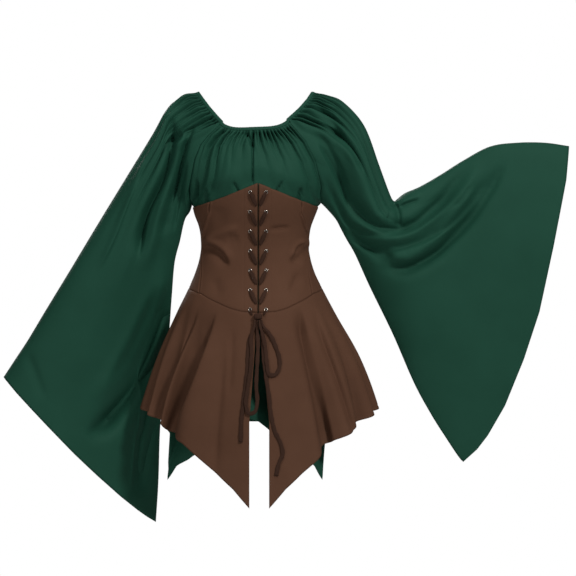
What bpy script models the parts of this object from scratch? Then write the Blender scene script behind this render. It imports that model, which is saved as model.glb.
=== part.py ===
"""A medieval costume gown, filled out as if worn: a green chemise with bell sleeves under a laced brown corset.

Metres, +Z up, the front faces -Y. The origin lies midway between the two shoulder points of the neckline.
Heights are given as a drop below the shoulders. Left and right are the wearer's, so the left sleeve is at +X.
"""

from collections import namedtuple
from math import cos, pi, sin

import bpy
import numpy as np
from mathutils import Vector

# Cloth
CHEMISE_WALL = 0.0010
CORSET_WALL = 0.0015
SEAM_GAP = 0.0004
RAGLAN_GAP = 0.0014
CASING_GAP = 0.0009
CHEMISE_INSET = 0.0042  # how far the chemise lies inside the corset
FRONT_INSET = 0.0020  # the same in front, where the lacing draws the corset tight
BLOUSING = 0.0060  # how far it puffs out above the corset
BLOUSING_HEIGHT = 0.020
PANEL_LENGTH = 0.160  # of a chemise panel, from the neck to the corset
SLEEVE_LENGTH = 0.580  # for each whole share of a sleeve, near the neck

# Neckline
CASING_HEIGHT = 0.008
CASING_WALL = 0.0020
NECK_DROOP = 0.016  # how far the middle of the neckline hangs below its corners
NECK_POINTS = 16  # of the casing, across the front and across the back
FRONT_GATHERS = 16
SLEEVE_GATHERS = 10
GATHER_HEIGHT = 0.0042
GATHER_LENGTH = 0.055

# Corset and peplum
LACING_X, SLIT_X = 0.008, 0.011  # where the centre front lies on the corset, and on the hem of the peplum
LACING_TURN = 2.3  # the same on the corset, in degrees round the body
LACING_GAP = 0.0030
SLIT_WIDTH = 0.046
SLIT_TOP, SLIT_FULL = 0.520, 0.773
SIDE_BACK = 112  # degrees round the body
PEPLUM_FLUTE = 0.028
PEPLUM_FLARE = 0.270  # length over which the flutes grow
CHEMISE_FLUTE = 0.007

# Lacing
EYELETS = 7
EYELET_TOP, EYELET_PITCH = 0.2374, 0.0456
EYELET_ASIDE = 0.0185
EYELET_RADIUS, EYELET_WIRE = 0.0042, 0.0014
EYELET_LIFT = 0.0007
LACE_WIDTH, LACE_THICK = 0.0095, 0.0024
LACE_LIFTS = [0.0060, 0.0060, 0.0042, 0.0031]  # of the tape off the corset, from its eyelet to the gap
LACE_RUN = 0.032  # how much lower than its eyelet a stretch of tape meets the gap
LACE_END_ASIDE = 0.0042
TIE_WIDTH = 0.0105
KNOT_SIZE = (0.0100, 0.0075, 0.0075)
KNOT_DROP, KNOT_LIFT = 0.5265, 0.0108

Ring = namedtuple("Ring", "drop centre half front back")
BODY = [
    Ring(0.000, 0.000, 0.1370, 0.030, 0.030),
    Ring(0.032, 0.000, 0.1650, 0.052, 0.048),
    Ring(0.056, 0.000, 0.1780, 0.066, 0.060),
    Ring(0.084, 0.000, 0.1840, 0.082, 0.072),
    Ring(0.120, 0.000, 0.1830, 0.098, 0.081),
    Ring(0.166, 0.000, 0.1780, 0.111, 0.087),
    Ring(0.215, 0.001, 0.1660, 0.116, 0.089),
    Ring(0.258, 0.002, 0.1520, 0.110, 0.087),
    Ring(0.291, 0.000, 0.1405, 0.102, 0.084),
    Ring(0.315, 0.000, 0.1315, 0.095, 0.081),
    Ring(0.345, 0.000, 0.1265, 0.089, 0.079),
    Ring(0.388, 0.000, 0.1290, 0.089, 0.080),
    Ring(0.423, 0.000, 0.1390, 0.095, 0.085),
    Ring(0.461, 0.001, 0.1560, 0.106, 0.097),
    Ring(0.518, 0.002, 0.1850, 0.125, 0.112),
    Ring(0.618, 0.008, 0.2360, 0.148, 0.135),
    Ring(0.740, 0.011, 0.2800, 0.170, 0.156),
    Ring(0.900, 0.011, 0.3160, 0.186, 0.170),
    Ring(0.980, 0.011, 0.3300, 0.192, 0.175),
]
CHEMISE_SKIRT = [
    Ring(0.461, 0.001, 0.1534, 0.1034, 0.0944),
    Ring(0.518, 0.000, 0.1760, 0.117, 0.104),
    Ring(0.618, -0.004, 0.1920, 0.122, 0.112),
    Ring(0.740, -0.012, 0.2000, 0.128, 0.118),
    Ring(0.905, -0.023, 0.2120, 0.136, 0.126),
    Ring(0.930, -0.024, 0.2140, 0.138, 0.128),
]

# Edges that run round the body: degrees from the front, either way, and the drop there
Edge = namedtuple("Edge", "angle drop")
CORSET_TOP = [
    Edge(0, 0.216), Edge(14, 0.232), Edge(29, 0.247), Edge(43, 0.2575), Edge(62, 0.267), Edge(90, 0.272),
    Edge(180, 0.268),
]
WAIST_SEAM = [
    Edge(0, 0.518), Edge(12, 0.516), Edge(21, 0.509), Edge(33, 0.4955), Edge(54, 0.474), Edge(90, 0.460),
    Edge(180, 0.468),
]
PEPLUM_HEM = [
    Edge(0, 0.993), Edge(4, 0.971), Edge(11, 0.927), Edge(19, 0.890), Edge(28.5, 0.852), Edge(36, 0.822),
    Edge(43, 0.807), Edge(48, 0.797), Edge(55, 0.780), Edge(72, 0.757), Edge(90, 0.742), Edge(105, 0.700),
    Edge(135, 0.705), Edge(160, 0.740), Edge(180, 0.760),
]
CHEMISE_HEM = [
    Edge(0, 0.775), Edge(10, 0.786), Edge(30, 0.800), Edge(48, 0.850), Edge(62, 0.918), Edge(66, 0.800),
    Edge(90, 0.745), Edge(110, 0.780), Edge(180, 0.790),
]

# The rows of points down a panel, as shares of its length
CORSET_ROWS = [0.002, 0.09, 0.20, 0.36, 0.51, 0.67, 0.82, 0.998]
PEPLUM_ROWS = [0.002, 0.15, 0.32, 0.50, 0.68, 0.85, 1.0]
SEAM_TURN = 0.28  # the gap at the seams of the corset and peplum, in degrees round the body

# The princess seams of the corset: the share of the way down, and degrees round the body
PRINCESS_SEAM = [(0.0, 45), (0.12, 49), (0.32, 74), (0.52, 79), (0.80, 62), (1.0, 54)]

# The troughs between the flutes of the peplum, by degrees round the body
Trough = namedtuple("Trough", "angle width depth")
PEPLUM_TROUGHS = [
    Trough(-46, 6, 1.0), Trough(-64, 6, 0.8), Trough(-79, 5, 0.5), Trough(-20, 9, 0.2),
    Trough(20, 8, 0.2), Trough(36, 6, 1.0), Trough(60, 6, 0.9), Trough(79, 5, 0.6),
    Trough(104, 8, 0.8), Trough(128, 8, 0.8), Trough(154, 8, 0.8), Trough(180, 8, 0.7),
    Trough(206, 8, 0.8), Trough(231, 8, 0.8), Trough(254, 7, 0.8),
]

# Where the neck edge and the raglan seam of a sleeve run, from the shoulder point (0) to the armpit (1)
Armhole = namedtuple("Armhole", "along x drop")
CORNER = 0.32  # where the neck edge ends and the raglan seam starts
RIGHT_ARMHOLE = [
    Armhole(0.00, -0.137, 0.000), Armhole(0.10, -0.126, 0.014), Armhole(0.20, -0.107, 0.036),
    Armhole(CORNER, -0.0745, 0.072), Armhole(0.40, -0.093, 0.090), Armhole(0.47, -0.110, 0.105),
    Armhole(0.55, -0.127, 0.126), Armhole(0.67, -0.141, 0.160), Armhole(0.79, -0.148, 0.197),
    Armhole(0.90, -0.154, 0.232), Armhole(1.00, -0.1555, 0.260),
]
LEFT_ARMHOLE = [
    Armhole(0.00, 0.138, 0.000), Armhole(0.10, 0.126, 0.016), Armhole(0.20, 0.105, 0.038),
    Armhole(CORNER, 0.074, 0.066), Armhole(0.42, 0.096, 0.090), Armhole(0.53, 0.119, 0.118),
    Armhole(0.68, 0.143, 0.166), Armhole(0.84, 0.155, 0.218), Armhole(0.93, 0.157, 0.243),
    Armhole(1.00, 0.160, 0.258),
]
ARMPIT = 0.94  # share of a chemise panel's side edge, above the corset, that is raglan seam
UPPER_ROWS = [0.11, 0.20, 0.32, 0.48, 0.64, 0.80, 0.92]  # of a chemise panel's points, down to the armpit
PANEL_WIDTH = [(0, 0.165), (0.5, 0.36), (1, 0.45)]

# Sections of the sleeves from the neck to the hem: the upper and the lower end of each, how far it bows out between
# them, the half depths in front and behind, and how far back its two ends lie
Section = namedtuple("Section", "top_x top_drop low_x low_drop bow front back top_y low_y")
RIGHT_SLEEVE = [
    Section(-0.137, 0.000, -0.157, 0.260, 0.000, 0.055, 0.050, 0.000, 0.000),
    Section(-0.187, 0.020, -0.160, 0.282, 0.000, 0.062, 0.056, 0.000, 0.002),
    Section(-0.209, 0.042, -0.166, 0.300, 0.000, 0.064, 0.058, 0.000, 0.004),
    Section(-0.240, 0.098, -0.176, 0.348, 0.000, 0.064, 0.058, 0.002, 0.010),
    Section(-0.306, 0.206, -0.189, 0.400, 0.000, 0.062, 0.056, 0.004, 0.018),
    Section(-0.369, 0.309, -0.196, 0.477, 0.000, 0.060, 0.054, 0.007, 0.036),
    Section(-0.434, 0.417, -0.205, 0.583, 0.000, 0.058, 0.052, 0.010, 0.078),
    Section(-0.492, 0.512, -0.217, 0.688, 0.002, 0.057, 0.052, 0.014, 0.116),
    Section(-0.534, 0.582, -0.226, 0.794, 0.006, 0.057, 0.052, 0.018, 0.124),
    Section(-0.561, 0.623, -0.230, 0.919, 0.010, 0.058, 0.053, 0.021, 0.124),
    Section(-0.592, 0.670, -0.236, 1.016, 0.013, 0.060, 0.055, 0.024, 0.122),
]
LEFT_SLEEVE = [
    Section(0.138, 0.000, 0.160, 0.258, 0.000, 0.055, 0.050, 0.000, 0.000),
    Section(0.177, 0.0075, 0.171, 0.270, 0.000, 0.063, 0.058, 0.000, 0.000),
    Section(0.212, 0.025, 0.181, 0.284, 0.000, 0.066, 0.060, 0.000, 0.000),
    Section(0.258, 0.080, 0.192, 0.301, 0.000, 0.066, 0.060, 0.000, 0.000),
    Section(0.292, 0.172, 0.202, 0.322, 0.000, 0.062, 0.058, 0.000, 0.000),
    Section(0.317, 0.240, 0.216, 0.348, 0.000, 0.058, 0.055, 0.000, 0.002),
    Section(0.3265, 0.256, 0.236, 0.383, 0.000, 0.056, 0.052, 0.000, 0.004),
    Section(0.334, 0.2515, 0.270, 0.458, 0.000, 0.054, 0.050, 0.000, 0.006),
    Section(0.3525, 0.2375, 0.324, 0.569, 0.000, 0.052, 0.048, 0.000, 0.008),
    Section(0.388, 0.222, 0.374, 0.684, 0.002, 0.048, 0.045, 0.000, 0.010),
    Section(0.435, 0.195, 0.416, 0.761, 0.006, 0.044, 0.042, 0.000, 0.012),
    Section(0.489, 0.161, 0.449, 0.813, 0.012, 0.042, 0.040, 0.000, 0.012),
    Section(0.552, 0.128, 0.472, 0.848, 0.022, 0.042, 0.040, 0.000, 0.012),
    Section(0.616, 0.119, 0.483, 0.863, 0.034, 0.043, 0.041, 0.000, 0.012),
    Section(0.681, 0.119, 0.488, 0.868, 0.046, 0.045, 0.043, 0.000, 0.012),
    Section(0.738, 0.127, 0.4895, 0.870, 0.057, 0.048, 0.046, 0.000, 0.012),
]
RIGHT_ROWS = [0.18, 0.24, 0.30, 0.36, 0.42, 0.48, 0.54, 0.59, 0.64, 0.69, 0.74, 0.79, 0.85, 0.92, 1.0]
LEFT_ROWS = [0.18, 0.235, 0.285, 0.335, 0.38, 0.42, 0.455, 0.49, 0.53, 0.575, 0.63, 0.69, 0.75, 0.82, 0.91, 1.0]
ARMHOLE_BLEND = 0.26  # share of a sleeve's length over which its armhole shape fades out
FULL_AT = 0.60  # power that sets how near the upper edge a sleeve is fullest
FULLNESS = 0.75
BOW_SHAPE = [
    (0, 0), (0.1, 0.31), (0.3, 0.67), (0.5, 0.98), (0.65, 1), (0.8, 0.88), (0.9, 0.61), (0.95, 0.38), (1, 0),
]

# The main folds of the sleeves as seen from the front: the height (below 0 for a trough), the half width,
# and the line that each follows, as x and drop
Fold = namedtuple("Fold", "height width line")
RIGHT_FOLDS = [
    Fold(-0.015, 0.018, [
        (-0.192, 0.045), (-0.190, 0.120), (-0.207, 0.193), (-0.233, 0.246), (-0.256, 0.298), (-0.283, 0.391),
    ]),
    Fold(0.010, 0.014, [
        (-0.168, 0.060), (-0.176, 0.136), (-0.193, 0.202), (-0.216, 0.265), (-0.235, 0.336), (-0.262, 0.430),
    ]),
    Fold(-0.014, 0.014, [
        (-0.148, 0.080), (-0.161, 0.136), (-0.174, 0.193), (-0.187, 0.233), (-0.205, 0.290), (-0.222, 0.350),
    ]),
    Fold(0.012, 0.024, [
        (-0.190, 0.395), (-0.223, 0.465), (-0.259, 0.524), (-0.294, 0.595), (-0.336, 0.672), (-0.386, 0.735),
    ]),
    Fold(-0.026, 0.026, [
        (-0.196, 0.465), (-0.218, 0.520), (-0.244, 0.590), (-0.274, 0.655), (-0.310, 0.722), (-0.352, 0.780),
        (-0.395, 0.822),
    ]),
    Fold(-0.010, 0.030, [(-0.262, 0.790), (-0.286, 0.865), (-0.288, 0.960)]),
]
LEFT_FOLDS = [
    Fold(-0.010, 0.014, [(0.136, 0.031), (0.168, 0.060), (0.190, 0.087), (0.205, 0.120)]),
    Fold(0.008, 0.016, [
        (0.213, 0.113), (0.227, 0.149), (0.244, 0.199), (0.263, 0.248), (0.285, 0.289), (0.312, 0.304),
        (0.335, 0.297),
    ]),
    Fold(-0.018, 0.016, [
        (0.155, 0.114), (0.177, 0.149), (0.195, 0.194), (0.213, 0.239), (0.236, 0.275), (0.263, 0.302),
        (0.294, 0.319), (0.338, 0.322), (0.375, 0.306), (0.415, 0.272), (0.442, 0.248), (0.469, 0.212),
        (0.500, 0.185), (0.523, 0.159),
    ]),
    Fold(0.013, 0.015, [
        (0.225, 0.282), (0.240, 0.296), (0.272, 0.322), (0.303, 0.337), (0.330, 0.340), (0.357, 0.334),
        (0.384, 0.322), (0.415, 0.301), (0.442, 0.278), (0.469, 0.248), (0.496, 0.219), (0.514, 0.186),
        (0.532, 0.156),
    ]),
    Fold(-0.012, 0.014, [(0.213, 0.315), (0.236, 0.342), (0.263, 0.365), (0.294, 0.383), (0.330, 0.384)]),
    Fold(0.011, 0.016, [
        (0.294, 0.396), (0.330, 0.396), (0.361, 0.391), (0.392, 0.369), (0.429, 0.341), (0.465, 0.293),
        (0.496, 0.253), (0.524, 0.215),
    ]),
    Fold(-0.018, 0.019, [
        (0.270, 0.404), (0.308, 0.413), (0.357, 0.414), (0.392, 0.399), (0.429, 0.376), (0.465, 0.336),
        (0.500, 0.298), (0.528, 0.253), (0.555, 0.217), (0.581, 0.168),
    ]),
]
FOLD_ROOM = 0.040  # half depth of a sleeve at which its folds are full
HIDDEN_FOLD_SHARE = 0.6  # the back of a sleeve has the same folds, softer

# The ties that hang from the bow: x, drop, and how far each point stands off the peplum
Tie = namedtuple("Tie", "x drop lift")
TIES = {
    "tie_end_right": [
        Tie(0.0005, 0.5347, 0.0062), Tie(0.0005, 0.545, 0.0055), Tie(-0.012, 0.583, 0.0027),
        Tie(-0.017, 0.653, 0.0027), Tie(-0.024, 0.712, 0.0027), Tie(-0.030, 0.765, 0.0027),
        Tie(-0.032, 0.818, 0.0027),
    ],
    "tie_loop_right": [
        Tie(0.0005, 0.5347, 0.0135), Tie(0.0003, 0.545, 0.0120), Tie(-0.008, 0.575, 0.0065),
        Tie(-0.007, 0.611, 0.0058), Tie(-0.010, 0.655, 0.0058), Tie(-0.017, 0.700, 0.0058),
        Tie(-0.020, 0.732, 0.0058), Tie(-0.012, 0.752, 0.0058), Tie(0.000, 0.748, 0.0058),
        Tie(0.006, 0.728, 0.0058), Tie(0.004, 0.690, 0.0058), Tie(0.006, 0.640, 0.0058),
        Tie(0.008, 0.590, 0.0058), Tie(0.0060, 0.545, 0.0085), Tie(0.0060, 0.5347, 0.0100),
    ],
    "tie_loop_left": [
        Tie(0.0115, 0.5347, 0.0155), Tie(0.0120, 0.545, 0.0155), Tie(0.018, 0.566, 0.0130),
        Tie(0.025, 0.600, 0.0065), Tie(0.029, 0.640, 0.0058), Tie(0.035, 0.662, 0.0058),
        Tie(0.047, 0.662, 0.0040), Tie(0.057, 0.648, 0.0032), Tie(0.058, 0.628, 0.0032),
        Tie(0.050, 0.600, 0.0040), Tie(0.034, 0.566, 0.0065), Tie(0.0175, 0.545, 0.0095),
        Tie(0.0160, 0.5347, 0.0100),
    ],
    "tie_end_left": [
        Tie(0.0150, 0.5347, 0.0060), Tie(0.0150, 0.545, 0.0050), Tie(0.018, 0.575, 0.0027),
        Tie(0.021, 0.620, 0.0027), Tie(0.027, 0.670, 0.0027), Tie(0.034, 0.715, 0.0027),
        Tie(0.039, 0.760, 0.0027), Tie(0.048, 0.795, 0.0027), Tie(0.061, 0.822, 0.0027),
        Tie(0.065, 0.845, 0.0027), Tie(0.056, 0.868, 0.0027), Tie(0.050, 0.895, 0.0027),
    ],
}

Paint = namedtuple("Paint", "colour roughness metallic")
PAINTS = {
    "green_cloth": Paint((0.013, 0.052, 0.034), 0.62, 0.0),
    "brown_cloth": Paint((0.075, 0.037, 0.024), 0.75, 0.0),
    "dark_lace": Paint((0.036, 0.019, 0.014), 0.70, 0.0),
    "eyelet_metal": Paint((0.46, 0.42, 0.38), 0.35, 1.0),
}


def eased(x):
    """A smooth step from 0 to 1."""
    x = np.clip(x, 0, 1)
    return x * x * (3 - 2 * x)


def through(knots, values, at):
    """A smooth curve through the values, which may be vectors, read at each of the given places."""
    knots, values = np.asarray(knots, float), np.asarray(values, float)
    slopes = np.gradient(values, knots, axis=0)
    at = np.clip(at, knots[0], knots[-1])
    i = np.clip(np.searchsorted(knots, at) - 1, 0, len(knots) - 2)
    span = (knots[i + 1] - knots[i]).reshape(np.shape(i) + (1,) * (values.ndim - 1))
    t = (at - knots[i]).reshape(span.shape) / span
    return (
        (2 * t**3 - 3 * t**2 + 1) * values[i]
        + (t**3 - 2 * t**2 + t) * span * slopes[i]
        + (3 * t**2 - 2 * t**3) * values[i + 1]
        + (t**3 - t**2) * span * slopes[i + 1]
    )


def edge_at(edges, angle):
    """The drop of an edge that runs round the body. Those of the corset are centred on its lacing."""
    centre = LACING_TURN if edges in (CORSET_TOP, WAIST_SEAM) else 0
    away = np.abs((np.asarray(angle) - centre + 180) % 360 - 180)
    return np.interp(away, [e.angle for e in edges], [e.drop for e in edges])


def ring_at(rings, drop):
    """The centre, half width and the two depths of a ring at each drop."""
    table = np.array(rings)
    return np.moveaxis(through(table[:, 0], table[:, 1:], drop), -1, 0)


def round_body(rings, angle, drop, out=0.0):
    """Points on the rings at these angles and drops, moved out. 0 degrees is the front, 90 the wearer's left."""
    centre, half, front, back = ring_at(rings, drop)
    turn = np.radians(angle)
    depth = np.where(np.cos(turn) > 0, front, back)
    return np.stack([centre + (half + out) * np.sin(turn), -(depth + out) * np.cos(turn), -drop], -1)


def blousing(angle, drop):
    """How far the chemise stands off the body's rings: inside the corset, and puffed out above its edge."""
    above = edge_at(CORSET_TOP, angle) - drop
    inset = CHEMISE_INSET + (FRONT_INSET - CHEMISE_INSET) * eased((34 - np.abs(angle)) / 20)
    return -inset + (inset + BLOUSING) * eased((above - 0.003) / BLOUSING_HEIGHT)


def angle_at(x, drop):
    """The angle on the chemise at which a point seen from the front at x and drop lies."""
    centre, half, _, _ = ring_at(BODY, drop)
    return np.degrees(np.arcsin(np.clip((x - centre) / (half + BLOUSING), -1, 1)))


def armhole_at(armhole, along):
    """The angle and the drop along a sleeve's neck edge and raglan seam."""
    table = np.array(armhole)
    x, drop = (np.interp(along, table[:, 0], table[:, k]) for k in (1, 2))
    return angle_at(x, drop), drop


def scatter(i):
    """A fixed number from 0 to 1 for each whole number."""
    return np.modf(np.abs(np.sin(i * 12.9898) * 43758.5453))[0]


def gathers(count, away):
    """The height of gathers that run down from an edge: count numbers them, away is the distance from it."""
    length = GATHER_LENGTH * (0.55 + 0.9 * scatter(np.floor(count + 0.5)))
    rise = 0.35 + 0.65 * eased((away - CASING_HEIGHT) / 0.012)
    return GATHER_HEIGHT * rise * np.exp(-np.maximum(away - 0.02, 0) / length) * np.cos(2 * pi * count)


def fold_height(x, drop, folds):
    """The sum of the folds at points seen from the front at x and drop. Each fades out at both its ends."""
    points = np.stack([x, drop], -1)
    total = np.zeros(len(points))
    for fold in folds:
        line = np.array(fold.line)
        steps = np.linalg.norm(np.diff(line, axis=0), axis=1)
        starts = np.concatenate([[0], np.cumsum(steps)])
        nearest = np.full(len(points), np.inf)
        along = np.zeros(len(points))
        for start, end, step, run in zip(line[:-1], line[1:], steps, starts):
            share = np.clip((points - start) @ (end - start) / step**2, 0, 1)
            away = np.linalg.norm(points - start - share[:, None] * (end - start), axis=1)
            along = np.where(away < nearest, (run + share * step) / starts[-1], along)
            nearest = np.minimum(nearest, away)
        fade = eased(along / 0.18) * eased((1 - along) / 0.18)
        total += fold.height * fade * np.exp(-((nearest / fold.width) ** 2))
    return total


def flutes(troughs, angle):
    """The flutes round a skirt: 1 on a ridge, and less in the troughs between them."""
    height = np.ones(np.shape(angle))
    for trough in troughs:
        away = (angle - trough.angle + 180) % 360 - 180
        height = height - 2 * trough.depth * np.exp(-((away / trough.width) ** 2))
    return height


def chemise_side(armhole, v):
    """The angle and drop of a chemise panel's side edge. v is 0 at the neck, 1 at the corset's top edge."""
    angle, drop = armhole_at(armhole, CORNER + (1 - CORNER) * np.minimum(v / ARMPIT, 1))
    below = eased((v - ARMPIT) / (1 - ARMPIT))
    side = 90 if armhole[0].x > 0 else -90
    end = edge_at(CORSET_TOP, side)
    return angle + (side - angle) * below, drop + below * (end - armhole[-1].drop)


def chemise(u, v, behind):
    """Points on a chemise panel: u from the wearer's right (0) to left (1), v from the neck (0) past the
    corset's top edge (1) and the waist seam (2) to the hem (3). Returns the points and the gathers' heights."""
    right_angle, right_drop = chemise_side(RIGHT_ARMHOLE, v)
    left_angle, left_drop = chemise_side(LEFT_ARMHOLE, v)
    middle = 1 - (2 * u - 1) ** 4
    if behind:
        right_angle, left_angle = 180 - right_angle, 180 - left_angle
    angle = right_angle + (left_angle - right_angle) * u
    level = right_drop + (left_drop - right_drop) * u
    sides = edge_at(CORSET_TOP, right_angle) * (1 - u) + edge_at(CORSET_TOP, left_angle) * u
    droop = NECK_DROOP * middle * (1 - np.minimum(v, 1)) ** 2
    upper = level + droop + (edge_at(CORSET_TOP, angle) - sides) * eased(v)
    waist = edge_at(WAIST_SEAM, angle)
    under = edge_at(CORSET_TOP, angle) + (waist - edge_at(CORSET_TOP, angle)) * (v - 1)
    skirt = waist + (edge_at(CHEMISE_HEM, angle) - waist) * (v - 2)
    drop = np.select([v <= 1, v <= 2], [upper, under], skirt)
    body = round_body(BODY, angle, drop, blousing(angle, drop))
    swing = CHEMISE_FLUTE * np.clip(v - 2, 0, 1) * np.cos(np.radians(angle * 9))
    loose = round_body(CHEMISE_SKIRT, angle, drop, swing)
    points = np.where((v > 2)[:, None], loose, body)
    away = np.minimum(v, 1) * PANEL_LENGTH
    side = eased(np.minimum(u, 1 - u) / 0.04)
    height = gathers(u * FRONT_GATHERS, away) * side * (v < 1) * eased((1 - v) / 0.25)
    return points, height


def armhole_points(armhole, along, behind):
    """Points on a sleeve's neck edge and raglan seam, in front or behind. It stops short of the chemise's
    panels along the seam, and lies over them at the armpit."""
    angle, drop = armhole_at(armhole, along)
    under = eased((along - 0.70) / 0.25)
    gap = RAGLAN_GAP / 2 * (along > CORNER)
    angle = angle + np.sign(angle) * np.degrees(gap / 0.16) * (1 - under)
    angle = np.where(behind, 180 - angle, angle)
    return round_body(BODY, angle, drop, blousing(angle, drop) * eased(drop / 0.06) + 2 * gap * under)


def sleeve(sections, armhole, folds, s, t, behind):
    """Points on a sleeve: s from the neck (0) to the hem (1), t from the upper (0) to the lower edge (1). The
    folds stand out to the front, and less so to the back, and are shallow where the sleeve is thin."""
    table = np.array(sections)
    row = through(np.linspace(0, 1, len(table)), table, s)
    top, low = row[:, 0:2], row[:, 2:4]
    bow, front, back, top_y, low_y = row[:, 4:].T
    run = low - top
    across = np.stack([run[:, 1], -run[:, 0]], -1) / np.linalg.norm(run, axis=1)[:, None]
    across *= np.sign(table[-1, 0])
    seen = top + run * t[:, None] + across * (bow * np.interp(t, *zip(*BOW_SHAPE)))[:, None]
    half = np.where(behind, back, -front) * np.sin(pi * np.clip(t, 0, 1) ** FULL_AT).clip(0) ** FULLNESS
    body = np.stack([seen[:, 0], top_y + (low_y - top_y) * t**2.2 + half, -seen[:, 1]], -1)
    start = armhole_points(armhole, t, behind)
    first = table[0, 0:2] + (table[0, 2:4] - table[0, 0:2]) * t[:, None]
    fade = (1 - eased(s / ARMHOLE_BLEND))[:, None]
    moved = body + fade * np.stack([start[:, 0] - first[:, 0], np.zeros(len(s)), first[:, 1] + start[:, 2]], -1)
    moved[:, 1] = body[:, 1] * (1 - fade[:, 0]) + start[:, 1] * fade[:, 0]
    height = fold_height(moved[:, 0], -moved[:, 2], folds) * eased((s - 0.06) / 0.15)
    moved[:, 1] += height * np.minimum(np.abs(half) / FOLD_ROOM, 1) * np.where(behind, HIDDEN_FOLD_SHARE, -1.0)
    return moved


def sleeve_gathers(t, away):
    """The height of the gathers of a sleeve's neck edge."""
    return gathers(t / CORNER * SLEEVE_GATHERS, away) * eased((CORNER + 0.02 - t) / 0.04) * eased(t / 0.02)


def corset(angle, v):
    """Points on the corset: v from its top edge (0) to the waist seam (1)."""
    top, low = edge_at(CORSET_TOP, angle), edge_at(WAIST_SEAM, angle)
    return round_body(BODY, angle, top + (low - top) * v)


def peplum(angle, v):
    """Points on the peplum: v from the waist seam (0) to the hem (1)."""
    top, low = edge_at(WAIST_SEAM, angle), edge_at(PEPLUM_HEM, angle)
    drop = top + (low - top) * v
    grown = PEPLUM_FLUTE * np.clip((drop - top) / PEPLUM_FLARE, 0, 1.1) ** 1.3
    return round_body(BODY, angle, drop, grown * (flutes(PEPLUM_TROUGHS, angle) - 1) / 2)


def front_edge(side, drop):
    """The angle of the front edge of the corset or peplum, on the wearer's right (-1) or left (1)."""
    centre, half, _, _ = ring_at(BODY, drop)
    share = np.clip((drop - SLIT_TOP) / (SLIT_FULL - SLIT_TOP), 0, 1)
    x = LACING_X + (SLIT_X - LACING_X) * share + side * (LACING_GAP + (SLIT_WIDTH - LACING_GAP) * share) / 2
    return float(np.degrees(np.arcsin((x - centre) / half)))


def bridge(first, second, here, there, closed):
    """Triangles between two rows of points that start at the given indices. here and there tell how far along
    its row each point lies. In the second half of a closed ring the quads are split the other way, so that the
    splits follow the folds on both sides of a sleeve."""
    faces = []
    m, n = len(here), len(there)
    if m == n:
        for i in range(m if closed else m - 1):
            a, b, c, d = first + i, first + (i + 1) % m, second + (i + 1) % n, second + i
            faces += [(a, b, c), (a, c, d)] if closed and i >= m // 2 else [(a, b, d), (b, c, d)]
        return faces
    last_i, last_j = (m, n) if closed else (m - 1, n - 1)
    ahead_i, ahead_j = np.append(here, here[0] + 2), np.append(there, there[0] + 2)
    i = j = 0
    while i < last_i or j < last_j:
        if j == last_j or (i < last_i and ahead_i[i + 1] <= ahead_j[j + 1]):
            faces.append((first + i % m, first + (i + 1) % m, second + j % n))
            i += 1
        else:
            faces.append((first + i % m, second + (j + 1) % n, second + j % n))
            j += 1
    return faces


def loft(rows, places=None, closed=False):
    """The points and faces of a surface through rows of points. places tells how far along its row each is."""
    places = places or [np.linspace(0, 1, len(row)) for row in rows]
    starts = np.concatenate([[0], np.cumsum([len(row) for row in rows])])
    faces = []
    for i in range(len(rows) - 1):
        faces += bridge(int(starts[i]), int(starts[i + 1]), places[i], places[i + 1], closed)
    return np.concatenate(rows), faces


def mesh_object(name, points, faces, paint):
    """A mesh object in the gown's collection, with its material."""
    mesh = bpy.data.meshes.new(name)
    mesh.from_pydata([tuple(p) for p in points], [], faces)
    mesh.update()
    mesh.materials.append(material(paint))
    obj = bpy.data.objects.new(name, mesh)
    bpy.data.collections["gown"].objects.link(obj)
    mesh.shade_smooth()
    return obj


def wall(name, points, faces, heights, thickness, paint):
    """A cloth wall: the surface raised along its normals by the heights, then given its thickness."""
    obj = mesh_object(name, points, faces, paint)
    for vertex, normal, height in zip(obj.data.vertices, [v.normal.copy() for v in obj.data.vertices], heights):
        vertex.co += normal * float(height)
    solidify = obj.modifiers.new("cloth", "SOLIDIFY")
    solidify.thickness = thickness
    solidify.offset = 0
    return obj


def material(paint):
    """The material of that name, made when it is first asked for."""
    found = bpy.data.materials.get(paint)
    if found:
        return found
    made = bpy.data.materials.new(paint)
    made.use_nodes = True
    shader = made.node_tree.nodes["Principled BSDF"]
    shader.inputs["Base Color"].default_value = (*PAINTS[paint].colour, 1)
    shader.inputs["Roughness"].default_value = PAINTS[paint].roughness
    shader.inputs["Metallic"].default_value = PAINTS[paint].metallic
    return made


def build_chemise_panel(name, behind):
    """The front or back of the chemise, from just under the neckline's casing to the hem."""
    start = (CASING_HEIGHT + CASING_GAP) / PANEL_LENGTH
    rows = list(zip([start] + UPPER_ROWS, [50, 50, 50, 26, 22, 22, 22, 22])) + [(0.985, 20)]
    rows += [(1 + v, 17) for v in [0.0] + CORSET_ROWS[1:-1] + [1.0]] + [(2.3, 22), (2.65, 25), (3.0, 25)]
    points, heights = [], []
    for v, count in rows:
        inset = (RAGLAN_GAP if v < ARMPIT else SEAM_GAP) / 2 / np.interp(v, *zip(*PANEL_WIDTH))
        row, height = chemise(inset + (1 - 2 * inset) * np.linspace(0, 1, count), np.full(count, v), behind)
        points.append(row)
        heights.append(height)
    points, faces = loft(points)
    faces = faces if behind else [face[::-1] for face in faces]
    return wall(name, points, faces, np.concatenate(heights), CHEMISE_WALL, "green_cloth")


def mirrored_ring(front):
    """Places right round a sleeve, from those down its front: t, and whether each is behind."""
    return np.concatenate([front, [1.0], front[:0:-1]]), np.arange(2 * len(front)) >= len(front)


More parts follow.
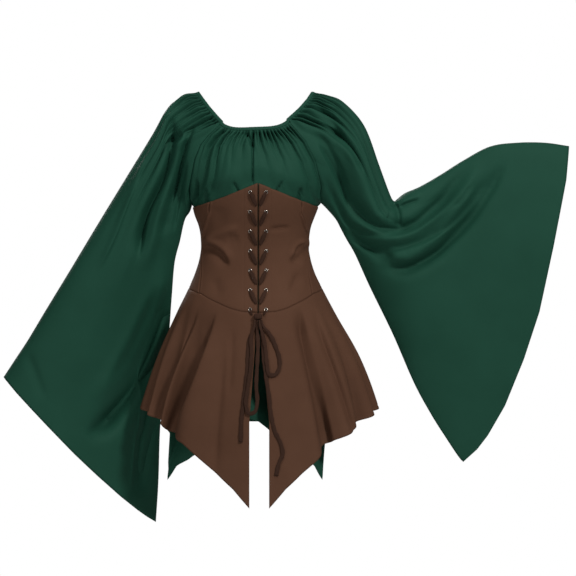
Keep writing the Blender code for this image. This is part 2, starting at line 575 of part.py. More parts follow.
def neck_ring(count):
    """The places round a sleeve at its armhole. Those along the raglan seam are the rows of the chemise's panels."""
    seam = CORNER + (1 - CORNER) * np.array([0.0] + UPPER_ROWS) / ARMPIT
    return mirrored_ring(np.concatenate([CORNER * np.arange(count) / count, seam]))


def sleeve_ring(count, s, crowding):
    """The places round a sleeve further down. Crowding draws them to the upper edge, below the elbow."""
    even = np.arange(count) / count
    even = even - 0.25 * np.sin(2 * pi * even) / (2 * pi)
    return mirrored_ring(0.3 * even + 0.7 * even ** (1 + crowding * eased((s - 0.36) / 0.3)))


def build_sleeve(name, sections, armhole, folds, rows, crowding):
    """A raglan bell sleeve: a tube from the armhole and neck edge to the hem."""
    casing = (CASING_HEIGHT + CASING_GAP) / SLEEVE_LENGTH
    points, heights, round_it = [], [], []
    for k, s in enumerate([0.0, 0.03, 0.065, 0.10, 0.14] + rows):
        t, behind = neck_ring(30) if k < 4 else neck_ring(10) if k == 4 else sleeve_ring(17, s, crowding)
        place = s + casing * (1 - eased((t - CORNER) / 0.06)) * (k < 4)
        row = sleeve(sections, armhole, folds, place, t, behind)
        away = np.linalg.norm(row - armhole_points(armhole, t, behind), axis=1)
        heights.append(sleeve_gathers(t, away) * (k < 4))
        points.append(row)
        round_it.append(np.where(behind, 2 - t, t))
    points, faces = loft(points, round_it, closed=True)
    faces = faces if sections[0].top_x < 0 else [face[::-1] for face in faces]
    return wall(name, points, faces, np.concatenate(heights), CHEMISE_WALL, "green_cloth")


def neck_loop(away):
    """Points right round the neckline at a distance below its edge, from the wearer's right front corner."""
    u = np.arange(1, NECK_POINTS) / NECK_POINTS
    out = CORNER * np.arange(NECK_POINTS // 2 + 1) / (NECK_POINTS // 2)
    back = out[:0:-1]

    def along_sleeve(sections, armhole, t, behind):
        return sleeve(sections, armhole, [], np.full(len(t), away / SLEEVE_LENGTH), t, np.full(len(t), behind))

    return np.concatenate([
        chemise(u, np.full(len(u), away / PANEL_LENGTH), False)[0],
        along_sleeve(LEFT_SLEEVE, LEFT_ARMHOLE, back, False),
        along_sleeve(LEFT_SLEEVE, LEFT_ARMHOLE, out, True),
        chemise(1 - u, np.full(len(u), away / PANEL_LENGTH), True)[0],
        along_sleeve(RIGHT_SLEEVE, RIGHT_ARMHOLE, back, True),
        along_sleeve(RIGHT_SLEEVE, RIGHT_ARMHOLE, out, False),
    ])


def build_casing():
    """The narrow casing of the elastic, right round the neckline."""
    points, faces = loft([neck_loop(0.0), neck_loop(CASING_HEIGHT)], closed=True)
    return wall("neckline_casing", points, faces, np.zeros(len(points)), CASING_WALL, "green_cloth")


def build_panel(name, surface, angles, rows, count, paint):
    """A panel of the corset or the peplum. angles gives the angles of its two side edges at each row."""
    points = []
    for v in rows:
        start, end = angles(v)
        points.append(surface(start + (end - start) * np.linspace(0, 1, count), np.full(count, v)))
    points, faces = loft(points)
    return wall(name, points, [face[::-1] for face in faces], np.zeros(len(points)), CORSET_WALL, paint)


def build_corset():
    """The corset: two fronts, two sides and a back."""

    def front(side, v):
        drop = CORSET_TOP[0].drop * (1 - v) + WAIST_SEAM[0].drop * v
        return front_edge(side, drop)

    def princess(side, v, away):
        return side * (np.interp(v, *zip(*PRINCESS_SEAM)) + away * SEAM_TURN / 2)

    back = SIDE_BACK - SEAM_TURN / 2
    spans = {
        "corset_front_right": (lambda v: (princess(-1, v, -1), front(-1, v)), 10),
        "corset_front_left": (lambda v: (front(1, v), princess(1, v, -1)), 10),
        "corset_side_right": (lambda v: (-back, princess(-1, v, 1)), 8),
        "corset_side_left": (lambda v: (princess(1, v, 1), back), 8),
        "corset_back": (lambda v: (SIDE_BACK + SEAM_TURN / 2, 360 - SIDE_BACK - SEAM_TURN / 2), 13),
    }
    for name, (angles, count) in spans.items():
        build_panel(name, corset, angles, CORSET_ROWS, count, "brown_cloth")


def build_peplum():
    """The peplum: two pointed fronts either side of the slit, and a back."""

    def front(side, v):
        drop = WAIST_SEAM[0].drop * (1 - v) + PEPLUM_HEM[1].drop * v
        return front_edge(side, drop)

    side = 90 - SEAM_TURN / 2
    build_panel("peplum_front_right", peplum, lambda v: (-side, front(-1, v)), PEPLUM_ROWS, 24, "brown_cloth")
    build_panel("peplum_front_left", peplum, lambda v: (front(1, v), side), PEPLUM_ROWS, 24, "brown_cloth")
    build_panel("peplum_back", peplum, lambda v: (180 - side, 180 + side), PEPLUM_ROWS, 35, "brown_cloth")


def front_point(x, drop, lift):
    """A point in front of the corset or peplum, at x and drop and this far off it."""
    centre, half, front, _ = ring_at(BODY, drop)
    return np.array([x, -(front + lift) * np.sqrt(1 - ((x - centre) / half) ** 2), -drop])


def eyelet_place(side, k):
    """The x and the drop of an eyelet on the wearer's right (-1) or left (1)."""
    return LACING_X + side * EYELET_ASIDE, EYELET_TOP + EYELET_PITCH * k


def build_eyelet(name, x, drop):
    """A metal eyelet: a ring that lies flat on the corset."""
    lift = CORSET_WALL / 2 + EYELET_LIFT + EYELET_WIRE
    here = front_point(x, drop, lift)
    across = front_point(x + 0.004, drop, lift) - here
    down = front_point(x, drop + 0.004, lift) - here
    outward = Vector(across).cross(Vector(-down)).normalized()
    bpy.ops.mesh.primitive_torus_add(
        major_segments=10, minor_segments=4, major_radius=EYELET_RADIUS, minor_radius=EYELET_WIRE, location=here
    )
    obj = bpy.context.object
    obj.rotation_euler = Vector((0, 0, 1)).rotation_difference(outward).to_euler()
    take(obj, name, "eyelet_metal")


def take(obj, name, paint):
    """Names an object that an operator made, gives it its material and puts it in the gown's collection."""
    obj.name = obj.data.name = name
    obj.data.materials.append(material(paint))
    for collection in list(obj.users_collection):
        collection.objects.unlink(obj)
    bpy.data.collections["gown"].objects.link(obj)


def build_tape(name, path, widths, thick):
    """A flat tape along a path of points, with its face to the front."""
    path = np.array(path)
    ahead = np.gradient(path, axis=0)
    ahead /= np.linalg.norm(ahead, axis=1)[:, None]
    across = np.cross(ahead, (0.0, -1.0, 0.0))
    across /= np.linalg.norm(across, axis=1)[:, None]
    facing = np.cross(across, ahead)
    turns = 2 * pi * np.arange(6) / 6
    rows = []
    for centre, side, front, width in zip(path, across, facing, widths):
        rows.append([centre + side * cos(a) * width / 2 + front * sin(a) * thick / 2 for a in turns])
    points, faces = loft(rows, closed=True)
    last = 6 * (len(rows) - 1)
    faces += [tuple(range(6))[::-1], tuple(range(last, last + 6))]
    mesh_object(name, points, [face[::-1] for face in faces], "dark_lace")


def build_lacing():
    """The eyelets, and the stretch of tape that runs from each to the gap between the corset's fronts."""
    for side, word in ((-1, "right"), (1, "left")):
        for k in range(EYELETS):
            x, drop = eyelet_place(side, k)
            build_eyelet(f"eyelet_{word}_{k + 1}", x, drop)
            last = k == EYELETS - 1
            end_x = LACING_X + side * (KNOT_SIZE[0] + 0.0035 if last else LACE_END_ASIDE)
            end_drop = KNOT_DROP - 0.003 if last else drop + LACE_RUN
            path = []
            for share, lift in zip((0.0, 0.3, 0.7, 1.0), LACE_LIFTS):
                path.append(front_point(x + (end_x - x) * share, drop + (end_drop - drop) * share, lift))
            widths = (0.5 if last else 1.0) * LACE_WIDTH * np.array([0.5, 1.0, 1.0, 0.5])
            build_tape(f"lace_{word}_{k + 1}", path, widths, LACE_THICK)


def build_bow():
    """The bow under the lacing: its knot, two loops and two free ends."""
    place = front_point(LACING_X, KNOT_DROP, KNOT_LIFT)
    bpy.ops.mesh.primitive_cube_add(size=2, location=place)
    knot = bpy.context.object
    knot.scale = KNOT_SIZE
    bevel = knot.modifiers.new("rounding", "BEVEL")
    bevel.width = 0.003
    bevel.segments = 2
    take(knot, "tie_knot", "dark_lace")
    for name, ties in TIES.items():
        widths = [TIE_WIDTH * np.interp(tie.drop, (0.535, 0.575), (0.4, 1.0)) for tie in ties]
        build_tape(name, [front_point(*tie) for tie in ties], widths, LACE_THICK)


def main():
    for obj in list(bpy.data.objects):
        bpy.data.objects.remove(obj)
    gown = bpy.data.collections.new("gown")
    bpy.context.scene.collection.children.link(gown)
    build_chemise_panel("chemise_front", False)
    build_chemise_panel("chemise_back", True)
    build_sleeve("sleeve_right", RIGHT_SLEEVE, RIGHT_ARMHOLE, RIGHT_FOLDS, RIGHT_ROWS, 0.0)
    build_sleeve("sleeve_left", LEFT_SLEEVE, LEFT_ARMHOLE, LEFT_FOLDS, LEFT_ROWS, 1.2)
    build_casing()
    build_corset()
    build_peplum()
    build_lacing()
    build_bow()


main()
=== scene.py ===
"""The look of a medieval costume gown: a green chemise with bell sleeves under a laced brown corset.

The cloth follows the forms of the part's solids, with finer points, gathers, creases, seams and stitches. Metres,
+Z up, the front faces -Y. Heights are given as a drop below the shoulders. Left and right are the wearer's.
"""

from collections import namedtuple
from math import cos, pi, radians, sin

import bpy
import numpy as np
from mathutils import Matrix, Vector


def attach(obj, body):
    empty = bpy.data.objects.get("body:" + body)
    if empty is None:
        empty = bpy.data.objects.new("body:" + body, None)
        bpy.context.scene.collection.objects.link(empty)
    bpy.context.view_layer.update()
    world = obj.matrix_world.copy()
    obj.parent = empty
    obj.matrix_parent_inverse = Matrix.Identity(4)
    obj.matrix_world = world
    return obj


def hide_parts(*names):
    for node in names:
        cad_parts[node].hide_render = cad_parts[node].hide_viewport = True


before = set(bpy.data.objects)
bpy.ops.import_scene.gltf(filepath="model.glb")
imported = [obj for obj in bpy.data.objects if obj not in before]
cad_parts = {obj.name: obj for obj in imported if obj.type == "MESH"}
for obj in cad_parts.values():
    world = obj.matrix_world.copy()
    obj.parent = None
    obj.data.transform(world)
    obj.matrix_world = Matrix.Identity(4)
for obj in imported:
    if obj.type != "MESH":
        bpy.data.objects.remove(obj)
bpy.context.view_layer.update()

# Cloth
CHEMISE_WALL = 0.0010
CORSET_WALL = 0.0015
SEAM_GAP = 0.0004
RAGLAN_GAP = 0.0005
CASING_GAP = 0.0004
CHEMISE_INSET = 0.0042  # how far the chemise lies inside the corset
FRONT_INSET = 0.0020  # the same in front, where the lacing draws the corset tight
BLOUSING = 0.0060  # how far it puffs out above the corset
BLOUSING_HEIGHT = 0.042
PANEL_LENGTH = 0.160  # of a chemise panel, from the neck to the corset
SLEEVE_LENGTH = 0.580  # for each whole share of a sleeve, near the neck

# Neckline
CASING_HEIGHT = 0.008
CASING_WALL = 0.0020
NECK_DROOP = 0.016  # how far the middle of the neckline hangs below its corners
NECK_POINTS = 16  # of the casing, across the front and across the back
FRONT_GATHERS = 16
SLEEVE_GATHERS = 10
GATHER_HEIGHT = 0.0042
GATHER_LENGTH = 0.055

# Corset and peplum
LACING_X, SLIT_X = 0.008, 0.011  # where the centre front lies on the corset, and on the hem of the peplum
LACING_TURN = 2.3  # the same on the corset, in degrees round the body
LACING_GAP = 0.0030
SLIT_WIDTH = 0.046
SLIT_TOP, SLIT_FULL = 0.520, 0.773
SIDE_BACK = 112  # degrees round the body
PEPLUM_FLUTE = 0.028
PEPLUM_FLARE = 0.270  # length over which the flutes grow
CHEMISE_FLUTE = 0.007

# Lacing
EYELETS = 7
EYELET_TOP, EYELET_PITCH = 0.2374, 0.0456
EYELET_ASIDE = 0.0185
EYELET_RADIUS, EYELET_WIRE = 0.0042, 0.0014
EYELET_LIFT = 0.0007
LACE_WIDTH, LACE_THICK = 0.0095, 0.0024
LACE_LIFTS = [0.0060, 0.0060, 0.0042, 0.0031]  # of the tape off the corset, from its eyelet to the gap
LACE_RUN = 0.032  # how much lower than its eyelet a stretch of tape meets the gap
LACE_END_ASIDE = 0.0042
TIE_WIDTH = 0.0105
KNOT_SIZE = (0.0100, 0.0075, 0.0075)
KNOT_DROP, KNOT_LIFT = 0.5265, 0.0108

Ring = namedtuple("Ring", "drop centre half front back")
BODY = [
    Ring(0.000, 0.000, 0.1370, 0.030, 0.030),
    Ring(0.032, 0.000, 0.1650, 0.052, 0.048),
    Ring(0.056, 0.000, 0.1780, 0.066, 0.060),
    Ring(0.084, 0.000, 0.1840, 0.082, 0.072),
    Ring(0.120, 0.000, 0.1830, 0.098, 0.081),
    Ring(0.166, 0.000, 0.1780, 0.111, 0.087),
    Ring(0.215, 0.001, 0.1660, 0.116, 0.089),
    Ring(0.258, 0.002, 0.1520, 0.110, 0.087),
    Ring(0.291, 0.000, 0.1405, 0.102, 0.084),
    Ring(0.315, 0.000, 0.1315, 0.095, 0.081),
    Ring(0.345, 0.000, 0.1265, 0.089, 0.079),
    Ring(0.388, 0.000, 0.1290, 0.089, 0.080),
    Ring(0.423, 0.000, 0.1390, 0.095, 0.085),
    Ring(0.461, 0.001, 0.1560, 0.106, 0.097),
    Ring(0.518, 0.002, 0.1850, 0.125, 0.112),
    Ring(0.618, 0.008, 0.2360, 0.148, 0.135),
    Ring(0.740, 0.011, 0.2800, 0.170, 0.156),
    Ring(0.900, 0.011, 0.3160, 0.186, 0.170),
    Ring(0.980, 0.011, 0.3300, 0.192, 0.175),
]
CHEMISE_SKIRT = [
    Ring(0.461, 0.001, 0.1534, 0.1034, 0.0944),
    Ring(0.518, 0.000, 0.1760, 0.117, 0.104),
    Ring(0.618, -0.004, 0.1920, 0.122, 0.112),
    Ring(0.740, -0.012, 0.2000, 0.128, 0.118),
    Ring(0.905, -0.023, 0.2120, 0.136, 0.126),
    Ring(0.930, -0.024, 0.2140, 0.138, 0.128),
]

# Edges that run round the body: degrees from the front, either way, and the drop there
Edge = namedtuple("Edge", "angle drop")
CORSET_TOP = [
    Edge(0, 0.216), Edge(14, 0.232), Edge(29, 0.247), Edge(43, 0.2575), Edge(62, 0.267), Edge(90, 0.272),
    Edge(180, 0.268),
]
WAIST_SEAM = [
    Edge(0, 0.518), Edge(12, 0.516), Edge(21, 0.509), Edge(33, 0.4955), Edge(54, 0.474), Edge(90, 0.460),
    Edge(180, 0.468),
]
PEPLUM_HEM = [
    Edge(0, 0.993), Edge(4, 0.971), Edge(11, 0.927), Edge(19, 0.890), Edge(28.5, 0.852), Edge(36, 0.822),
    Edge(43, 0.807), Edge(48, 0.797), Edge(55, 0.780), Edge(72, 0.757), Edge(90, 0.742), Edge(105, 0.700),
    Edge(135, 0.705), Edge(160, 0.740), Edge(180, 0.760),
]
CHEMISE_HEM = [
    Edge(0, 0.764), Edge(6, 0.770), Edge(14, 0.790), Edge(30, 0.840), Edge(40, 0.862), Edge(50, 0.876), Edge(62, 0.910), Edge(66, 0.800),
    Edge(90, 0.745), Edge(110, 0.780), Edge(180, 0.777),
]

# The rows of points down a panel, as shares of its length
CORSET_ROWS = [0.002, 0.09, 0.20, 0.36, 0.51, 0.67, 0.82, 0.998]
PEPLUM_ROWS = [0.002, 0.15, 0.32, 0.50, 0.68, 0.85, 1.0]
SEAM_TURN = 0.28  # the gap at the seams of the corset and peplum, in degrees round the body

# The princess seams of the corset: the share of the way down, and degrees round the body
PRINCESS_SEAM = [(0.0, 45), (0.12, 49), (0.32, 74), (0.52, 79), (0.80, 62), (1.0, 54)]

# The troughs between the flutes of the peplum, by degrees round the body
Trough = namedtuple("Trough", "angle width depth")
PEPLUM_TROUGHS = [
    Trough(-46, 6, 1.0), Trough(-64, 6, 0.8), Trough(-79, 5, 0.5), Trough(-20, 9, 0.2),
    Trough(20, 8, 0.2), Trough(36, 6, 1.0), Trough(60, 6, 0.9), Trough(79, 5, 0.6),
    Trough(104, 8, 0.8), Trough(128, 8, 0.8), Trough(154, 8, 0.8), Trough(180, 8, 0.7),
    Trough(206, 8, 0.8), Trough(231, 8, 0.8), Trough(254, 7, 0.8),
]

# Where the neck edge and the raglan seam of a sleeve run, from the shoulder point (0) to the armpit (1)
Armhole = namedtuple("Armhole", "along x drop")
CORNER = 0.32  # where the neck edge ends and the raglan seam starts
RIGHT_ARMHOLE = [
    Armhole(0.00, -0.137, 0.000), Armhole(0.10, -0.126, 0.014), Armhole(0.20, -0.107, 0.036),
    Armhole(CORNER, -0.0745, 0.072), Armhole(0.40, -0.093, 0.090), Armhole(0.47, -0.110, 0.105),
    Armhole(0.55, -0.127, 0.126), Armhole(0.67, -0.141, 0.160), Armhole(0.79, -0.148, 0.197),
    Armhole(0.90, -0.154, 0.232), Armhole(1.00, -0.1555, 0.260),
]
LEFT_ARMHOLE = [
    Armhole(0.00, 0.138, 0.000), Armhole(0.10, 0.126, 0.016), Armhole(0.20, 0.105, 0.038),
    Armhole(CORNER, 0.074, 0.066), Armhole(0.42, 0.096, 0.090), Armhole(0.53, 0.119, 0.118),
    Armhole(0.68, 0.143, 0.166), Armhole(0.84, 0.155, 0.218), Armhole(0.93, 0.157, 0.243),
    Armhole(1.00, 0.160, 0.258),
]
ARMPIT = 0.94  # share of a chemise panel's side edge, above the corset, that is raglan seam
UPPER_ROWS = [0.11, 0.20, 0.32, 0.48, 0.64, 0.80, 0.92]  # of a chemise panel's points, down to the armpit
PANEL_WIDTH = [(0, 0.165), (0.5, 0.36), (1, 0.45)]

# Sections of the sleeves from the neck to the hem: the upper and the lower end of each, how far it bows out between
# them, the half depths in front and behind, and how far back its two ends lie
Section = namedtuple("Section", "top_x top_drop low_x low_drop bow front back top_y low_y")
RIGHT_SLEEVE = [
    Section(-0.137, 0.000, -0.157, 0.260, 0.000, 0.055, 0.050, 0.000, 0.000),
    Section(-0.187, 0.020, -0.160, 0.282, 0.000, 0.062, 0.056, 0.000, 0.002),
    Section(-0.209, 0.042, -0.166, 0.300, 0.000, 0.064, 0.058, 0.000, 0.004),
    Section(-0.240, 0.098, -0.176, 0.348, 0.000, 0.064, 0.058, 0.002, 0.010),
    Section(-0.306, 0.206, -0.189, 0.400, 0.000, 0.062, 0.056, 0.004, 0.018),
    Section(-0.369, 0.309, -0.196, 0.477, 0.000, 0.060, 0.054, 0.007, 0.036),
    Section(-0.434, 0.417, -0.205, 0.583, 0.000, 0.058, 0.052, 0.010, 0.078),
    Section(-0.492, 0.512, -0.217, 0.688, 0.002, 0.057, 0.052, 0.014, 0.116),
    Section(-0.534, 0.582, -0.226, 0.794, 0.006, 0.057, 0.052, 0.018, 0.124),
    Section(-0.561, 0.623, -0.230, 0.919, 0.010, 0.058, 0.053, 0.021, 0.124),
    Section(-0.592, 0.670, -0.236, 1.016, 0.013, 0.060, 0.055, 0.024, 0.122),
]
LEFT_SLEEVE = [
    Section(0.138, 0.000, 0.160, 0.258, 0.000, 0.055, 0.050, 0.000, 0.000),
    Section(0.177, 0.0075, 0.171, 0.270, 0.000, 0.063, 0.058, 0.000, 0.000),
    Section(0.212, 0.025, 0.181, 0.284, 0.000, 0.066, 0.060, 0.000, 0.000),
    Section(0.258, 0.080, 0.192, 0.301, 0.000, 0.066, 0.060, 0.000, 0.000),
    Section(0.292, 0.172, 0.202, 0.322, 0.000, 0.062, 0.058, 0.000, 0.000),
    Section(0.317, 0.240, 0.216, 0.348, 0.000, 0.058, 0.055, 0.000, 0.002),
    Section(0.3265, 0.256, 0.236, 0.383, 0.000, 0.056, 0.052, 0.000, 0.004),
    Section(0.334, 0.2515, 0.270, 0.458, 0.000, 0.054, 0.050, 0.000, 0.006),
    Section(0.3525, 0.2375, 0.324, 0.569, 0.000, 0.052, 0.048, 0.000, 0.008),
    Section(0.388, 0.222, 0.374, 0.684, 0.002, 0.048, 0.045, 0.000, 0.010),
    Section(0.435, 0.195, 0.416, 0.761, 0.006, 0.044, 0.042, 0.000, 0.012),
    Section(0.489, 0.161, 0.449, 0.813, 0.012, 0.042, 0.040, 0.000, 0.012),
    Section(0.552, 0.128, 0.472, 0.848, 0.022, 0.042, 0.040, 0.000, 0.012),
    Section(0.616, 0.119, 0.483, 0.863, 0.034, 0.043, 0.041, 0.000, 0.012),
    Section(0.681, 0.119, 0.488, 0.868, 0.046, 0.045, 0.043, 0.000, 0.012),
    Section(0.738, 0.127, 0.4895, 0.870, 0.057, 0.048, 0.046, 0.000, 0.012),
]
RIGHT_ROWS = [0.18, 0.24, 0.30, 0.36, 0.42, 0.48, 0.54, 0.59, 0.64, 0.69, 0.74, 0.79, 0.85, 0.92, 1.0]
LEFT_ROWS = [0.18, 0.235, 0.285, 0.335, 0.38, 0.42, 0.455, 0.49, 0.53, 0.575, 0.63, 0.69, 0.75, 0.82, 0.91, 1.0]
ARMHOLE_BLEND = 0.26  # share of a sleeve's length over which its armhole shape fades out
FULL_AT = 0.60  # power that sets how near the upper edge a sleeve is fullest
FULLNESS = 0.75
BOW_SHAPE = [
    (0, 0), (0.1, 0.31), (0.3, 0.67), (0.5, 0.98), (0.65, 1), (0.8, 0.88), (0.9, 0.61), (0.95, 0.38), (1, 0),
]

# The main folds of the sleeves as seen from the front: the height (below 0 for a trough), the half width,
# and the line that each follows, as x and drop
Fold = namedtuple("Fold", "height width line")
RIGHT_FOLDS = [
    Fold(-0.015, 0.018, [
        (-0.192, 0.045), (-0.190, 0.120), (-0.207, 0.193), (-0.233, 0.246), (-0.256, 0.298), (-0.283, 0.391),
    ]),
    Fold(0.010, 0.014, [
        (-0.168, 0.060), (-0.176, 0.136), (-0.193, 0.202), (-0.216, 0.265), (-0.235, 0.336), (-0.262, 0.430),
    ]),
    Fold(-0.014, 0.014, [
        (-0.148, 0.080), (-0.161, 0.136), (-0.174, 0.193), (-0.187, 0.233), (-0.205, 0.290), (-0.222, 0.350),
    ]),
    Fold(0.012, 0.024, [
        (-0.190, 0.395), (-0.223, 0.465), (-0.259, 0.524), (-0.294, 0.595), (-0.336, 0.672), (-0.386, 0.735),
    ]),
    Fold(-0.026, 0.026, [
        (-0.196, 0.465), (-0.218, 0.520), (-0.244, 0.590), (-0.274, 0.655), (-0.310, 0.722), (-0.352, 0.780),
        (-0.395, 0.822),
    ]),
    Fold(-0.010, 0.030, [(-0.262, 0.790), (-0.286, 0.865), (-0.288, 0.960)]),
]
LEFT_FOLDS = [
    Fold(-0.010, 0.014, [(0.136, 0.031), (0.168, 0.060), (0.190, 0.087), (0.205, 0.120)]),
    Fold(0.008, 0.016, [
        (0.213, 0.113), (0.227, 0.149), (0.244, 0.199), (0.263, 0.248), (0.285, 0.289), (0.312, 0.304),
        (0.335, 0.297),
    ]),
    Fold(-0.012, 0.014, [
        (0.155, 0.114), (0.177, 0.149), (0.195, 0.194), (0.213, 0.239), (0.236, 0.275), (0.263, 0.302),
        (0.294, 0.319), (0.338, 0.322), (0.375, 0.306), (0.415, 0.272), (0.442, 0.248), (0.469, 0.212),
        (0.500, 0.185), (0.523, 0.159),
    ]),
    Fold(0.013, 0.015, [
        (0.225, 0.282), (0.240, 0.296), (0.272, 0.322), (0.303, 0.337), (0.330, 0.340), (0.357, 0.334),
        (0.384, 0.322), (0.415, 0.301), (0.442, 0.278), (0.469, 0.248), (0.496, 0.219), (0.514, 0.186),
        (0.532, 0.156),
    ]),
    Fold(-0.012, 0.014, [(0.213, 0.315), (0.236, 0.342), (0.263, 0.365), (0.294, 0.383), (0.330, 0.384)]),
    Fold(0.011, 0.016, [
        (0.294, 0.396), (0.330, 0.396), (0.361, 0.391), (0.392, 0.369), (0.429, 0.341), (0.465, 0.293),
        (0.496, 0.253), (0.524, 0.215),
    ]),
    Fold(-0.013, 0.017, [
        (0.270, 0.404), (0.308, 0.413), (0.357, 0.414), (0.392, 0.399), (0.429, 0.376), (0.465, 0.336),
        (0.500, 0.298), (0.528, 0.253), (0.555, 0.217), (0.581, 0.168),
    ]),
]
FOLD_ROOM = 0.040  # half depth of a sleeve at which its folds are full
HIDDEN_FOLD_SHARE = 0.6  # the back of a sleeve has the same folds, softer

# The ties that hang from the bow: x, drop, and how far each point stands off the peplum
Tie = namedtuple("Tie", "x drop lift")
TIES = {
    "tie_end_right": [
        Tie(0.0005, 0.5347, 0.0062), Tie(0.0005, 0.545, 0.0055), Tie(-0.012, 0.583, 0.0027),
        Tie(-0.017, 0.653, 0.0027), Tie(-0.024, 0.712, 0.0027), Tie(-0.030, 0.765, 0.0027),
        Tie(-0.032, 0.818, 0.0027),
    ],
    "tie_loop_right": [
        Tie(0.0005, 0.5347, 0.0135), Tie(0.0003, 0.545, 0.0120), Tie(-0.008, 0.575, 0.0065),
        Tie(-0.007, 0.611, 0.0058), Tie(-0.010, 0.655, 0.0058), Tie(-0.017, 0.700, 0.0058),
        Tie(-0.020, 0.732, 0.0058), Tie(-0.012, 0.752, 0.0058), Tie(0.000, 0.748, 0.0058),
        Tie(0.006, 0.728, 0.0058), Tie(0.004, 0.690, 0.0058), Tie(0.006, 0.640, 0.0058),
        Tie(0.008, 0.590, 0.0058), Tie(0.0060, 0.545, 0.0085), Tie(0.0060, 0.5347, 0.0100),
    ],
    "tie_loop_left": [
        Tie(0.0115, 0.5347, 0.0155), Tie(0.0120, 0.545, 0.0155), Tie(0.018, 0.566, 0.0130),
        Tie(0.025, 0.600, 0.0065), Tie(0.029, 0.640, 0.0058), Tie(0.035, 0.662, 0.0058),
        Tie(0.047, 0.662, 0.0040), Tie(0.057, 0.648, 0.0032), Tie(0.058, 0.628, 0.0032),
        Tie(0.050, 0.600, 0.0040), Tie(0.034, 0.566, 0.0065), Tie(0.0175, 0.545, 0.0095),
        Tie(0.0160, 0.5347, 0.0100),
    ],
    "tie_end_left": [
        Tie(0.0150, 0.5347, 0.0060), Tie(0.0150, 0.545, 0.0050), Tie(0.018, 0.575, 0.0027),
        Tie(0.021, 0.620, 0.0027), Tie(0.027, 0.670, 0.0027), Tie(0.034, 0.715, 0.0027),
        Tie(0.039, 0.760, 0.0027), Tie(0.048, 0.795, 0.0027), Tie(0.061, 0.822, 0.0027),
        Tie(0.065, 0.845, 0.0027), Tie(0.056, 0.868, 0.0027), Tie(0.050, 0.895, 0.0027),
    ],
}

Crease = namedtuple("Crease", "height above below fade line")
# Finer forms than the solids have. Each crease: its height (below 0 for a trough), its half width above and below
# its line, the share of its length over which it fades at either end, and its line, as x and drop
FINE_SEAM_TURN = 0.14
SHOULDER_PUFF = 0.0065  # how far the gathered cloth rounds out at the top of the shoulder
ARMPIT_PUFF = 0.0055  # how far the chemise stands out under the arms, where it closes the gap below the sleeve
UNDER_CORSET = 0.0060  # how much further in the chemise lies under the corset, clear of its creases
FRONT_CREASES = [
    Crease(-0.0075, 0.0024, 0.0024, 0.10, [(-0.0045, 0.090), (-0.0048, 0.130), (-0.0050, 0.170), (-0.0046, 0.225)]),
    Crease(-0.0100, 0.003, 0.005, 0.25, [(-0.018, 0.092), (-0.014, 0.106), (-0.008, 0.118), (-0.002, 0.134)]),
    Crease(-0.0060, 0.003, 0.004, 0.25, [(-0.052, 0.210), (-0.043, 0.225), (-0.034, 0.245)]),
    Crease(-0.0060, 0.003, 0.004, 0.25, [(0.067, 0.210), (0.058, 0.224), (0.047, 0.242)]),
    Crease(-0.0080, 0.004, 0.005, 0.25, [(-0.120, 0.228), (-0.113, 0.250), (-0.107, 0.276)]),
    Crease(-0.0070, 0.004, 0.005, 0.25, [(0.109, 0.224), (0.106, 0.244), (0.102, 0.268)]),
    Crease(0.0030, 0.010, 0.010, 0.4, [(-0.108, 0.230), (-0.104, 0.250), (-0.099, 0.268)]),
    Crease(-0.0110, 0.003, 0.004, 0.30, [(-0.1395, 0.205), (-0.1390, 0.235), (-0.1380, 0.268)]),
    Crease(-0.0050, 0.002, 0.004, 0.2, [(-0.2120, 0.904), (-0.1950, 0.876), (-0.1660, 0.862), (-0.1400, 0.850)]),
    Crease(0.0055, 0.040, 0.040, 0.5, [(-0.095, 0.190), (-0.060, 0.200), (-0.025, 0.188)]),
    Crease(0.0055, 0.040, 0.040, 0.5, [(0.100, 0.185), (0.065, 0.200), (0.030, 0.188)]),
]
CORSET_CREASES = [
    Crease(-0.0085, 0.006, 0.016, 0.25, [(-0.128, 0.360), (-0.098, 0.368), (-0.076, 0.386), (-0.060, 0.416)]),
    Crease(0.0051, 0.010, 0.006, 0.25, [(-0.126, 0.352), (-0.096, 0.356), (-0.070, 0.374), (-0.054, 0.404)]),
    Crease(0.0051, 0.008, 0.012, 0.25, [(-0.126, 0.356), (-0.106, 0.344), (-0.075, 0.331), (-0.030, 0.318)]),
    Crease(-0.0034, 0.020, 0.016, 0.40, [(-0.086, 0.265), (-0.080, 0.300), (-0.068, 0.318)]),
    Crease(-0.0030, 0.014, 0.014, 0.40, [(-0.070, 0.348), (-0.050, 0.345), (-0.034, 0.340)]),
    Crease(-0.0058, 0.003, 0.006, 0.3, [(0.030, 0.324), (0.052, 0.320), (0.086, 0.318)]),
    Crease(0.0042, 0.003, 0.0022, 0.2, [(-0.1048, 0.278), (-0.1120, 0.306), (-0.1198, 0.334), (-0.1240, 0.350)]),
    Crease(0.0045, 0.003, 0.0024, 0.2, [(0.1077, 0.266), (0.1115, 0.304), (0.1235, 0.336)]),
    Crease(0.0048, 0.003, 0.006, 0.25, [(0.1225, 0.345), (0.0983, 0.362), (0.0832, 0.396)]),
    Crease(0.0051, 0.008, 0.008, 0.3, [(0.128, 0.344), (0.108, 0.368), (0.090, 0.396)]),
    Crease(-0.0076, 0.014, 0.012, 0.3, [(0.112, 0.352), (0.100, 0.384), (0.084, 0.412)]),
    Crease(-0.0036, 0.014, 0.014, 0.40, [(-0.094, 0.430), (-0.086, 0.470), (-0.080, 0.486)]),
    Crease(-0.0051, 0.012, 0.010, 0.35, [(0.104, 0.420), (0.094, 0.450), (0.080, 0.476)]),
]
